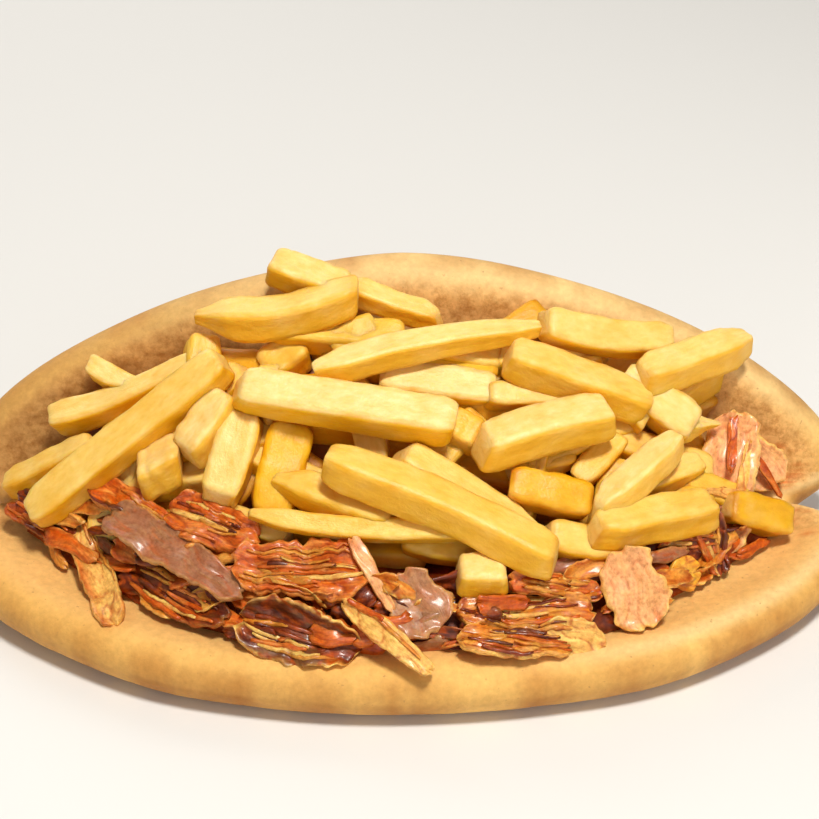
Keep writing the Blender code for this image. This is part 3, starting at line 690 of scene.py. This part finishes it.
class Fry:
    """A bent potato bar: rounded square section, uneven faces, slanted ends."""

    def __init__(self, start, end, thick, sag, taper, tone, tips, shape_rng, look_rng):
        start, end = seen_at(*start), seen_at(*end)
        roll = shape_rng.uniform(-FRY_ROLL, FRY_ROLL)
        roll += FRY_LEVELLED * (end - start).normalized().x
        self.start, self.end, self.thick, self.sag = start, end, thick, sag
        self.taper, self.tone, self.tips = taper, tone, tips
        self.along, self.across, self.outward = frame_along(start, end, roll)
        self.downhill = frame_along(start, end, 0.0)[1] * math.copysign(1.0, end.x - start.x)
        self.slants = [shape_rng.uniform(-FRY_SLANT, FRY_SLANT) for _ in range(2)]
        self.squash = shape_rng.uniform(FRY_SQUASH, 1.0)
        self.seed = look_rng.uniform(0.0, 50.0)
        self.twist = look_rng.uniform(-FRY_TWIST, FRY_TWIST)
        self.hollow = look_rng.uniform(*FRY_HOLLOW)
        self.lean = look_rng.uniform(-FRY_LEAN, FRY_LEAN)
        self.length = (end - start).length

    def ring(self, part, section):
        """Points, colours and grain places of the cross-section at a place along the fry."""
        seed, along, across, outward = self.seed, self.along, self.across, self.outward
        near = min(part, 1.0 - part) * self.length
        tip = self.tips[0] if part < 0.5 else self.tips[1]
        pointed = tip + (1.0 - tip) * smooth(near / (TIP_RUN[0] + TIP_RUN[1] * (1.0 - tip)))
        rounded = 1.0 - END_ROUNDING[0] * (1.0 - min(1.0, near / END_ROUNDING[1])) ** 2
        middle = self.start.lerp(self.end, part) + self.downhill * self.sag * math.sin(math.pi * part)
        middle = middle + outward * FRY_WOBBLE[0] * noise_at((part * FRY_WOBBLE[1], seed, 0.0))
        half = 0.5 * self.thick * (1.0 + (self.taper - 1.0) * part)
        half *= 1.0 + FRY_WAIST[0] * noise_at((part * FRY_WAIST[1], seed, 7.0))
        slant = (self.slants[0] if part < 0.5 else self.slants[1]) * max(0.0, 1.0 - near / SLANT_RUN)
        turn = self.twist * (part - 0.5)
        c, s = math.cos(turn), math.sin(turn)
        for out, side, corner in section:
            flatness = 1.0 - (min(abs(out), abs(side)) / DENT_WIDTH) ** 2
            dent = 1.0 - self.hollow * (1.0 - corner) * flatness
            chip = noise_at((part * self.length / FRY_CHIPS[1], seed, out * 3.0 + side * 7.0))
            nick = corner * FRY_CHIPS[0] * (chip - CHIPS_OFFSET)
            wide = (out * c - side * s) * dent * (1.0 + nick) * rounded * pointed
            high = (out * s + side * c) * dent * (1.0 + nick) * rounded
            blunt = pointed if tip < BLUNT_TIP else 1.0
            high *= TIP_FLATTENING * pointed + (1.0 - TIP_FLATTENING) * blunt
            point = middle + across * wide * half + outward * high * half * self.squash
            lean = self.lean * high * max(0.0, 1.0 - near / LEAN_RUN) * 0.5
            point = point + along * (side * slant + lean) * half
            facing = (across * wide + outward * high).normalized()
            point = point + facing * sum(lump * noise_at(point, size, seed) for lump, size in FRY_LUMPS)
            grain = sum(share * noise_at(point, size, seed + more) for share, size, more in FRY_GRAIN)
            ends = 1.0 - min(1.0, near / BROWNED_RUN)
            # Painted light: a face is coloured paler the more it turns up, and more golden as it turns
            # aside.
            if abs(out) > abs(side):
                upward = across.z * math.copysign(1.0, out)
            else:
                upward = outward.z * math.copysign(1.0, side)
            light = smooth(UPWARD_PAINTED_LIGHT[0] + UPWARD_PAINTED_LIGHT[1] * upward)
            colour = fry_colour(self.tone, light, corner, ends, grain)
            yield point, colour, (out * half + seed, side * half, 0.5 * part * self.length)


def add_fry(pile, fry, stations):
    """The fry's skin and its two cut ends, with a paler and slightly uneven face."""
    section = fry_section()
    size = len(section)
    rows = []
    for station in range(stations):
        rows += fry.ring(0.5 - 0.5 * math.cos(math.pi * station / (stations - 1)), section)
    faces = tube_faces(stations, size)
    for first, sign in ((0, -1.0), (len(rows) - size, 1.0)):
        ring = rows[first:first + size]
        centre = sum((point for point, _, _ in ring), Vector()) / size
        base = len(rows)
        for point, colour, grain in ring:
            inner = centre.lerp(point, CUT_RING) + fry.along * sign * CUT_OUT[0]
            inner = inner + fry.along * CUT_NOISE[0] * noise_at(inner, CUT_NOISE[1], fry.seed)
            grain = tuple(CUT_RING * number for number in grain)
            rows.append((inner, mix(colour, POTATO_PALE, CUT_PALE), grain))
        rows.append((centre + fry.along * sign * CUT_OUT[1], rows[base][1], (fry.seed, 0.0, 0.0)))
        for step in range(size):
            after = (step + 1) % size
            quad = (first + step, first + after, base + after, base + step)
            cap = (base + step, base + after, base + size)
            faces += [quad[::-1], cap[::-1]] if sign < 0 else [quad, cap]
    pile.add(rows, faces)


def ends_about(x, up, lift, half, turn):
    """Both ends of a piece seen from its middle, turned in the sight plane."""
    side, rise = half * math.cos(turn), half * math.sin(turn) * FORESHORTENING
    return (x - side, up - rise, lift), (x + side, up + rise, lift)


def filler_fries(rng):
    """Fries under the ones that show, spread evenly over the heap's face."""
    for index in range(FILLER_FRIES):
        x = FILLER_REACH * (2.0 * (index + rng.uniform(*FILLER_JITTER)) / FILLER_FRIES - 1.0)
        low = edge_up(x) + FILLER_START
        up = low + (heap_top_up(x) - low) * ((index * GOLDEN_SHARE) % 1.0)
        crossed = FILLER_CROSSED if index % CROSSED_EVERY == 0 else 0.0
        turn = rng.uniform(-FILLER_TURN, FILLER_TURN) + crossed
        half = 0.5 * rng.uniform(*FILLER_LENGTH)
        yield *ends_about(x, up, FILLER_LIFT, half, turn), rng.uniform(*FILLER_THICKNESS)


def deep_fries(rng):
    """Fries deeper in the heap, seen only through its gaps."""
    for index in range(DEEP_FRIES):
        x = FILLER_REACH * (2.0 * (index + rng.uniform(0.0, 1.0)) / DEEP_FRIES - 1.0)
        low = edge_up(x) + FILLER_START - DEEP_BELOW
        up = low + (heap_top_up(x) - low) * ((index * GOLDEN_SHARE + DEEP_SHIFT) % 1.0)
        turn = rng.uniform(-FILLER_CROSSED, FILLER_CROSSED)
        half = rng.uniform(*DEEP_HALF_LENGTH)
        ends = ends_about(x, up, rng.uniform(*DEEP_LIFT), half, turn)
        yield *ends, rng.uniform(*DEEP_THICKNESS)


def make_fries():
    pile = Pile()
    shape_rng = random.Random(FRIES_SEED)
    look_rng = random.Random(FRIES_LOOK_SEED)
    for one, two, thick, tone, tip, far_tip, *bend in FRIES:
        sag, taper = bend or STRAIGHT
        fry = Fry(one, two, thick, sag, taper, tone, (tip, far_tip), shape_rng, look_rng)
        add_fry(pile, fry, FRY_STATIONS)
    for hidden, rng, tones, tips, stations in (
            (filler_fries, shape_rng, FILLER_TONE, FILLER_TIPS, FRY_STATIONS),
            (deep_fries, random.Random(DEEP_SEED), DEEP_SHADED_TONE, DEEP_TIPS, DEEP_STATIONS)):
        for one, two, thick in hidden(rng):
            fry = Fry(one, two, thick, *STRAIGHT, look_rng.uniform(*tones), tips, rng, look_rng)
            add_fry(pile, fry, stations)
    add_fries_core(pile)
    pile.make("fries_heap", "fries", fries_material())


def loft_grid(pile, sections, colour_of, bumps):
    """A closed lumpy body through smooth rings of equal size."""
    along_steps, round_steps = CORE_STEPS
    rings = []
    for row in range(len(sections) - 1):
        for part in range(along_steps + (1 if row == len(sections) - 2 else 0)):
            share = part / along_steps
            ring = [one.lerp(two, share) for one, two in zip(sections[row], sections[row + 1])]
            rings.append([one.lerp(two, step / round_steps) for one, two in zip(ring, ring[1:] + ring[:1])
                          for step in range(round_steps)])
    count = len(rings[0])
    rows = []
    for ring in rings:
        centre = sum(ring, Vector()) / count
        for point in ring:
            out = (point - centre).normalized()
            lump = bumps * noise_at(point, 7.0, 4.0) + 0.4 * bumps * noise_at(point, 3.0, 8.0)
            rows.append((point + out * lump, colour_of(point)))
    pile.add(rows, end_faces(len(rows), count) + tube_faces(len(rings), count))


def add_fries_core(pile):
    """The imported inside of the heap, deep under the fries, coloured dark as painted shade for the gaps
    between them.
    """
    sections = []
    for x in core_places(*FRIES_CORE_ENDS):
        low = edge_up(x) + FRIES_CORE_START - 12.0 * (x / EDGE_REACH) ** 2
        high = max(low + 6.0, heap_top_up(x) - 3.0)
        base = meat_top(x) - 2.0
        front = seen_at(x, low, -FRIES_CORE_DEPTH)
        middle = seen_at(x, 0.5 * (low + high), -FRIES_CORE_DEPTH)
        top = seen_at(x, high, -FRIES_CORE_DEPTH)
        rear = folded(x, CORE_REAR_SHARE * rim_across(x), HALF_THICKNESS + 1.0)
        sections.append([front, middle, top, rear, Vector((x, CORE_REAR_Y, base)),
                         Vector((x, front.y + 2.0, base))])
    loft_grid(pile, sections, lambda point: HEAP_GAP_SHADE, 1.2)


# Meat

def meat_colour(tone, fat, streak, edge, crease_shade, char, point):
    """Face colour of a slice: cream fat along its edges, a browned side, and painted shade in its
    creases.
    """
    patch = noise_at(point, 6.0, 41.0) + 0.4 * noise_at(point, 2.2, 43.0)
    soft = SMOOTH_CUTS.get(tone, 1.0)
    colour = mix(TONES[tone], TONES["crisp"], soft * (0.7 * max(0.0, patch) + 0.4 * max(0.0, streak)))
    pale = (0.15 + 0.5 * fat) * max(0.0, -patch) + 0.5 * (0.2 + fat) * max(0.0, -streak)
    colour = mix(colour, TONES["cream"], pale * (0.2 if tone == "dark" else soft))
    colour = mix(colour, TONES["crisp"], char * (0.9 + patch))
    colour = mix(colour, TONES["cream"], fat * edge * (0.9 + patch))
    # Painted shade in the creases, first toward crisp brown and then toward the darkest tone.
    colour = mix(colour, TONES["crisp"], 1.5 * crease_shade)
    return (*mix(colour, TONES["dark"], crease_shade * crease_shade), soft)


class Shaving:
    """The crumpled sheet of one slice: bundles of fibres along it, ragged sides, curled edges."""

    def __init__(self, start, end, width, curl, roll, twist, rough, phase, ragged):
        start, end = seen_at(*start), seen_at(*end)
        self.start, self.end = start, end
        self.width, self.curl, self.twist = width, curl, twist
        self.rough, self.phase, self.ragged = rough, phase, ragged
        self.reach = (end - start).length
        self.along, self.across, self.outward = frame_along(start, end, math.radians(roll))

    def half_width(self, part):
        belly = 0.28 * math.sin(math.pi * part)
        return 0.5 * self.width * (0.72 + belly) * (1.0 + 0.14 * math.sin(5.0 * part + self.phase))

    def end_run(self, part):
        """Distance to the nearer end, in half widths."""
        return min(part, 1.0 - part) * self.reach / self.half_width(part)

    def side_share(self, part, seed):
        """How much of its half width the slice keeps at a place along it."""
        run = part * self.reach
        rounded = 0.35 + 0.65 * math.sqrt(smooth(self.end_run(part) / 0.55))
        waves = 1.3 * noise_at((run / 6.0, self.phase, seed + 30.0))
        waves += noise_at((run / 2.4, self.phase, seed))
        return rounded * (1.0 + self.ragged * waves)

    def edge(self, part, place):
        return 1.0 - smooth(min(1.0 - abs(place), self.end_run(part)) / 0.2)

    def sheet(self, part, place):
        """A point of the sheet's middle, its outward direction, the painted shade of its grooves, and its
        fibres.
        """
        phase, run = self.phase, part * self.reach
        wide = self.half_width(part) * self.side_share(part, 3.0 if place < 0.0 else 8.0)
        turn = self.twist * (part - 0.5)
        across = self.across * math.cos(turn) + self.outward * math.sin(turn)
        outward = self.outward * math.cos(turn) - self.across * math.sin(turn)
        lane = place * wide + 2.4 * noise_at((run / 9.0, phase, 15.0 + 0.5 * place))
        bundle = abs(noise_at((lane / 4.6, run / 10.0, phase)))
        fibre = noise_at((lane / 1.2, run / 6.0, phase + 7.0))
        fold = noise_at((lane / 9.0, run / 11.0, phase + 3.0))
        bend = self.curl * place * place + 0.06 * self.reach * math.sin(3.0 * part + phase)
        size = min(1.0, self.width / 9.0)
        lift = size * (3.2 * fold * (0.4 + 0.6 * self.rough) + 2.4 * self.rough * (bundle - 0.2))
        lift += 0.3 * fibre * (0.5 + 0.5 * self.rough)
        lift += 1.5 * size * self.edge(part, place) * noise_at((run / 5.0, phase, 21.0 + place))
        torn = self.ragged * 4.0 * noise_at((place * wide / 2.2, phase, 11.0 + part))
        shift = 0.6 * math.sin(4.0 * place + phase) + torn * 2.0 * (part - 0.5)
        point = self.start.lerp(self.end, part) + across * place * wide + self.along * shift
        # Painted shade: where the sheet dips between fibre bundles; used only to darken the colour.
        groove_shade = self.rough * smooth(1.0 - bundle / 0.09)
        return point + outward * (bend + lift), outward, groove_shade, fibre, lane


def slice_of_meat(pile, shaving, thick, tone, fat, browned, steps):
    """A thin shaving with a browned side, closed around its edge."""
    long_steps, wide_steps = steps
    phase = shaving.phase
    rows = []
    for side in (1, -1):
        for i in range(long_steps + 1):
            part = i / long_steps
            for j in range(wide_steps + 1):
                place = 2.0 * j / wide_steps - 1.0
                point, outward, groove_shade, fibre, lane = shaving.sheet(part, place)
                edge = shaving.edge(part, place)
                body = 0.5 * thick * (0.3 + 0.7 * math.sqrt(max(0.0, 1.0 - edge * edge)))
                point = point + outward * side * body
                char = max(0.0, browned * place) ** 1.5
                colour = meat_colour(tone, fat, 1.4 * fibre, edge, 0.75 * groove_shade, char, point)
                rows.append((point, colour, (lane + 9.0 * phase, 0.16 * part * shaving.reach, side)))
    row = wide_steps + 1
    sheet = row * (long_steps + 1)
    faces = []
    for i in range(long_steps):
        for j in range(wide_steps):
            first = i * row + j
            faces.append((first, first + row, first + row + 1, first + 1))
            faces.append((sheet + first, sheet + first + 1, sheet + first + row + 1, sheet + first + row))
    border = list(range(row))
    border += [i * row + wide_steps for i in range(1, long_steps + 1)]
    border += [long_steps * row + j for j in range(wide_steps - 1, -1, -1)]
    border += [i * row for i in range(long_steps - 1, 0, -1)]
    for index, first in enumerate(border):
        after = border[(index + 1) % len(border)]
        faces.append((first, after, sheet + after, sheet + first))
    pile.add(rows, faces)


def make_meat():
    pile = Pile()
    shape_rng = random.Random(SHAVINGS_SEED)
    look_rng = random.Random(MEAT_LOOK_SEED)
    for one, two, width, thick, curl, roll, tone, fat, browned, strands in SHAVINGS + END_SLICES:
        phase = shape_rng.uniform(*PHASES)
        shaving = Shaving(one, two, width, curl, roll, 0.0, SMOOTH_CUTS.get(tone, 1.0), phase,
                          SHAVING_RAGGED)
        thick = min(thick, SLICE_THICKNESS)
        slice_of_meat(pile, shaving, thick, tone, fat, browned, SLICE_GRID)
        add_strands(pile, shaving, thick, strands, look_rng)
    add_shreds(pile, look_rng)
    add_meat_core(pile)
    pile.make("doner_shavings", "doner_meat", meat_material())


def add_strands(pile, shaving, thick, count, rng):
    """Loose strands of muscle that follow a slice's face, half sunk in it."""
    for _ in range(count):
        place = rng.uniform(-0.85, 0.85)
        slew = rng.uniform(-0.25, 0.25)
        first = rng.uniform(0.02, 0.5)
        last = min(0.98, first + rng.uniform(0.3, 0.6))
        half = 0.5 * rng.uniform(*STRAND_WIDTH)
        loose = rng.uniform(0.0, 1.2)
        tone, fat = STRAND_TONES[rng.randrange(len(STRAND_TONES))]
        seed = rng.uniform(0.0, 40.0)
        rows = []
        for station in range(STRAND_STATIONS):
            run = station / (STRAND_STATIONS - 1)
            part = first + (last - first) * run
            spot = max(-0.95, min(0.95, place + slew * (run - 0.5)))
            centre, outward, groove_shade, _, lane = shaving.sheet(part, spot)
            taper = 0.2 + 0.8 * math.sqrt(math.sin(math.pi * (0.04 + 0.92 * run)))
            rise = 0.5 * thick + 0.25 * half + loose * (abs(2.0 * run - 1.0) ** 3)
            for step in range(STRAND_SIDES):
                turn = 2.0 * math.pi * step / STRAND_SIDES
                uneven = 1.0 + 0.35 * noise_at((run * 5.0, turn, seed))
                point = centre + shaving.across * half * taper * uneven * math.cos(turn)
                point = point + outward * (rise + 0.7 * half * taper * uneven * math.sin(turn))
                streak = 1.6 * noise_at((turn, run * 2.0, seed))
                colour = meat_colour(tone, fat, streak, 0.0, 0.3 * groove_shade, 0.0, point)
                rows.append((point, colour, (lane + seed, 0.16 * part * shaving.reach, turn)))
        pile.add(rows, end_faces(len(rows), STRAND_SIDES) + tube_faces(STRAND_STATIONS, STRAND_SIDES))


def add_shreds(pile, rng):
    """Small strips and crumbs of meat between the slices, behind the whole lip."""
    left, right = SHREDS_ALONG
    for index in range(SHREDS):
        x = left + (right - left) * (index + rng.uniform(0.0, 1.0)) / SHREDS
        up = edge_up(x) + SHREDS_UP[0] + SHREDS_UP[1] * ((index * GOLDEN_SHARE) % 1.0)
        turn = rng.uniform(*SHRED_TURN) - 0.5 * math.copysign(1.0, x) * (abs(x) / 110.0)
        half = rng.uniform(*SHRED_HALF_LENGTH)
        side, rise = half * math.cos(turn), half * math.sin(turn) * 0.8
        lift = rng.uniform(*SHRED_LIFT)
        one, two = (x - side, up + rise, lift), (x + side, up - rise, lift + rng.uniform(-1.0, 1.0))
        tone, fat = SHRED_LOOKS[rng.randrange(len(SHRED_LOOKS))]
        width, curl, roll, twist = (rng.uniform(*limits) for limits in SHRED_FORM)
        shaving = Shaving(one, two, width, curl, roll, twist, SHRED_ROUGH, rng.uniform(*PHASES),
                          SHRED_RAGGED)
        thick, browned = rng.uniform(*SHRED_THICKNESS), rng.uniform(*SHRED_BROWNED)
        slice_of_meat(pile, shaving, thick, tone, fat, browned, SHRED_GRID)


def add_meat_core(pile):
    """The meat layer under the slices, from behind the lip back to the fold; dark red-brown, partly meat
    and partly painted shade seen between the slices.
    """
    sections = []
    for x in core_places(*MEAT_CORE_ENDS):
        start = edge_up(x)
        share = 1.0 - MEAT_BANK_SHRINK * (x / EDGE_REACH) ** 2
        front = seen_at(x, start + MEAT_BANK_UP[0], -3.0)
        crest = seen_at(x, start + MEAT_BANK_UP[1] * share, -MEAT_CORE_DEPTH)
        bank = seen_at(x, start + MEAT_BANK_UP[2] * share, -MEAT_CORE_DEPTH)
        knee = min(bank.y + 16.0, CORE_REAR_Y - 6.0)
        floor = min(MEAT_LAYER_FLOOR, meat_top(x) - 1.0)
        sections.append([front, crest, bank, Vector((x, knee, max(meat_top(x), bank.z - 4.0))),
                         Vector((x, CORE_REAR_Y, meat_top(x))), Vector((x, CORE_REAR_Y, floor)),
                         Vector((x, front.y + 4.0, floor))])
    # Painted shade: the core's dark colour stands for shade in the gaps between slices.
    loft_grid(pile, sections, lambda point: mix(TONES["dark"], TONES["crisp"],
                                                0.35 + 0.8 * noise_at(point, 5.0, 2.0)), 1.0)


# Materials

def new_material(name):
    material = bpy.data.materials.new(name)
    material.use_nodes = True
    return material, material.node_tree, material.node_tree.nodes["Principled BSDF"]


def set_inputs(node, **values):
    """Sets sockets by their names, with _ for a space."""
    for name, value in values.items():
        node.inputs[name.replace("_", " ")].default_value = value


def add_node(tree, kind, **settings):
    node = tree.nodes.new(kind)
    for key, value in settings.items():
        setattr(node, key, value)
    return node


def noise_node(tree, coordinates, scale, detail, roughness=0.6):
    node = add_node(tree, "ShaderNodeTexNoise")
    set_inputs(node, Scale=scale, Detail=detail, Roughness=roughness)
    tree.links.new(coordinates, node.inputs["Vector"])
    return node.outputs["Fac"]


def ramp_node(tree, value, low, high, low_colour, high_colour):
    node = add_node(tree, "ShaderNodeValToRGB")
    for element, place, colour in zip(node.color_ramp.elements, (low, high), (low_colour, high_colour)):
        element.position = place
        element.color = (*colour, 1.0)
    tree.links.new(value, node.inputs["Fac"])
    return node.outputs["Color"]


def mix_node(tree, kind, factor, one, two):
    node = add_node(tree, "ShaderNodeMix", data_type="RGBA", blend_type=kind)
    if isinstance(factor, float):
        node.inputs["Factor"].default_value = factor
    else:
        tree.links.new(factor, node.inputs["Factor"])
    for socket, source in ((node.inputs[6], one), (node.inputs[7], two)):
        if isinstance(source, tuple):
            socket.default_value = (*source, 1.0)
        else:
            tree.links.new(source, socket)
    return node.outputs[2]


def shade(tree, factor, colour, *ramp_values):
    """Darkens and lightens a colour along a ramp of a noise."""
    return mix_node(tree, "MULTIPLY", factor, colour, ramp_node(tree, *ramp_values))


def tone_and_place(tree):
    tone = add_node(tree, "ShaderNodeAttribute", attribute_name="tone")
    grain = add_node(tree, "ShaderNodeAttribute", attribute_name="grain")
    place = add_node(tree, "ShaderNodeTexCoord")
    return tone.outputs, grain.outputs["Vector"], place.outputs["Object"]


def dress(tree, shader, colour, roughness, flesh, bumps):
    """Joins a material: colour, roughness (source, low, high), gloss and flesh, and bumps on bumps."""
    tree.links.new(colour, shader.inputs["Base Color"])
    source, low, high = roughness
    node = add_node(tree, "ShaderNodeMapRange")
    set_inputs(node, To_Min=low, To_Max=high)
    tree.links.new(source, node.inputs["Value"])
    tree.links.new(node.outputs["Result"], shader.inputs["Roughness"])
    specular, weight, radius, scale = flesh
    set_inputs(shader, Specular_IOR_Level=specular, Subsurface_Weight=weight, Subsurface_Radius=radius,
               Subsurface_Scale=scale)
    target = shader.inputs["Normal"]
    for height, strength, distance in reversed(bumps):
        node = add_node(tree, "ShaderNodeBump")
        set_inputs(node, Strength=strength, Distance=distance)
        tree.links.new(height, node.inputs["Height"])
        tree.links.new(node.outputs["Normal"], target)
        target = node.inputs["Normal"]


def bread_material():
    """Baked crust: fine mottling, faint specks and pores."""
    material, tree, shader = new_material("flatbread_crust")
    tone, _, place = tone_and_place(tree)
    fine = noise_node(tree, place, 420.0, 5.0, 0.65)
    pores = noise_node(tree, place, 1300.0, 3.0, 0.6)
    speck = noise_node(tree, place, 700.0, 2.0, 0.5)
    colour = shade(tree, 1.0, tone["Color"], fine, 0.3, 0.7, (0.86, 0.83, 0.78), (1.06, 1.06, 1.06))
    crumb = noise_node(tree, place, 300.0, 4.0, 0.7)
    colour = shade(tree, tone["Alpha"], colour, crumb, 0.36, 0.6, (0.72, 0.6, 0.46), (1.1, 1.12, 1.18))
    spots = ramp_node(tree, speck, 0.69, 0.76, (0.0, 0.0, 0.0), (0.55, 0.55, 0.55))
    colour = mix_node(tree, "MIX", spots, colour, (0.42, 0.2, 0.06))
    dress(tree, shader, colour, (fine, 0.55, 0.8), (0.35, 0.12, (1.0, 0.55, 0.25), 0.003),
          [(fine, 0.35, 0.0006), (pores, 0.25, 0.0003), (crumb, 0.3, 0.0006)])
    return material


def fries_material():
    """Fried potato: soft translucent flesh under a thin oily skin."""
    material, tree, shader = new_material("fried_potato")
    tone, grain, place = tone_and_place(tree)
    fine = noise_node(tree, grain, 0.5, 5.0, 0.62)
    blister = noise_node(tree, place, 1100.0, 3.0, 0.55)
    colour = shade(tree, 1.0, tone["Color"], fine, 0.3, 0.7, (0.93, 0.86, 0.6), (1.04, 1.05, 1.15))
    dress(tree, shader, colour, (fine, 0.28, 0.5), (0.4, 0.3, (1.0, 0.6, 0.1), 0.004),
          [(fine, 0.45, 0.0008), (blister, 0.4, 0.0003)])
    return material


def meat_material():
    """Roasted meat: fibres, crisp brown skin and a film of fat."""
    material, tree, shader = new_material("roasted_meat")
    tone, grain, place = tone_and_place(tree)
    strands = noise_node(tree, grain, 1.0, 3.0, 0.55)
    strands.node.inputs["Distortion"].default_value = 0.5
    fine = noise_node(tree, place, 600.0, 5.0, 0.65)
    pores = noise_node(tree, place, 1600.0, 3.0, 0.6)
    colour = shade(tree, tone["Alpha"], tone["Color"], strands, 0.32, 0.62, (0.66, 0.44, 0.26),
                   (1.08, 1.06, 1.0))
    colour = shade(tree, 1.0, colour, fine, 0.32, 0.6, (0.7, 0.6, 0.5), (1.06, 1.05, 1.02))
    dress(tree, shader, colour, (fine, 0.25, 0.55), (0.3, 0.25, (1.0, 0.35, 0.12), 0.003),
          [(strands, 0.4, 0.0006), (fine, 0.35, 0.0004), (pores, 0.25, 0.0003)])
    set_inputs(shader, Coat_Weight=0.28, Coat_Roughness=0.18)
    return material


# Stage, light and camera

FLOOR_REACH = 3.0
FLOOR_COLOUR = (0.78, 0.78, 0.77)
FLOOR_ROUGHNESS = 0.9
WORLD_COLOUR = (1.0, 0.94, 0.84)
WORLD_STRENGTH = 0.2
LIGHT_TARGET = Vector((0.0, 0.0, 0.04))
WARM_WHITE = (1.0, 0.96, 0.9)
SOFT_WHITE = (1.0, 0.97, 0.93)
# Lamps: name, place in metres, size, power and colour.
LAMPS = (
    ("key", (0.15, -0.3, 1.05), 0.2, 10.6, WARM_WHITE),
    ("fill", (0.8, -0.7, 0.55), 0.9, 2.2, SOFT_WHITE),
    ("front", (-0.15, -1.1, 0.45), 0.6, 1.9, SOFT_WHITE),
    ("rear", (-0.5, 0.9, 0.7), 0.8, 5.0, SOFT_WHITE),
)


def make_stage():
    mesh = bpy.data.meshes.new("floor")
    reach = FLOOR_REACH
    mesh.from_pydata([(-reach, -reach, 0), (reach, -reach, 0), (reach, reach, 0), (-reach, reach, 0)],
                     [], [(0, 1, 2, 3)])
    material, _, shader = new_material("pale_floor")
    set_inputs(shader, Base_Color=(*FLOOR_COLOUR, 1.0), Roughness=FLOOR_ROUGHNESS)
    mesh.materials.append(material)
    floor = new_object("floor", mesh)
    floor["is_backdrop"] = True


def area_light(name, place, size, power, colour):
    light = bpy.data.lights.new(name, "AREA")
    light.shape = "DISK"
    light.size = size
    light.energy = power
    light.color = colour
    obj = new_object(name, light)
    obj.location = place
    obj.rotation_euler = (LIGHT_TARGET - Vector(place)).to_track_quat("-Z", "Y").to_euler()


def make_lights():
    world = bpy.data.worlds.new("studio")
    world.use_nodes = True
    background = world.node_tree.nodes["Background"]
    set_inputs(background, Color=(*WORLD_COLOUR, 1.0), Strength=WORLD_STRENGTH)
    bpy.context.scene.world = world
    for lamp in LAMPS:
        area_light(*lamp)
    bpy.context.scene.view_settings.view_transform = "Standard"
    bpy.context.scene.view_settings.exposure = 0.0


def make_camera():
    """Looks down by LOOK_DOWN at the middle of the photograph's frame."""
    sine, cosine = math.sin(LOOK_DOWN), math.cos(LOOK_DOWN)
    x, up = SEEN_MIDDLE
    target = Vector((x, up * sine - SEEN_DEPTH * cosine - MIDDLE_Y, up * cosine + SEEN_DEPTH * sine))
    place = target + Vector((0.0, -cosine, sine)) * CAMERA_DISTANCE
    camera = bpy.data.cameras.new("camera")
    camera.sensor_width = SENSOR_WIDTH
    camera.lens = SENSOR_WIDTH * CAMERA_DISTANCE / SEEN_WIDTH
    obj = new_object("camera", camera)
    obj.matrix_world = Matrix.Translation(place * MM) @ Matrix.Rotation(math.pi / 2 - LOOK_DOWN, 4, "X")
    bpy.context.scene.camera = obj


make_camera()
make_stage()
make_lights()
make_bread()
make_meat()
make_fries()

[[list(corner) for corner in box] for box in (cad_box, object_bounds())]
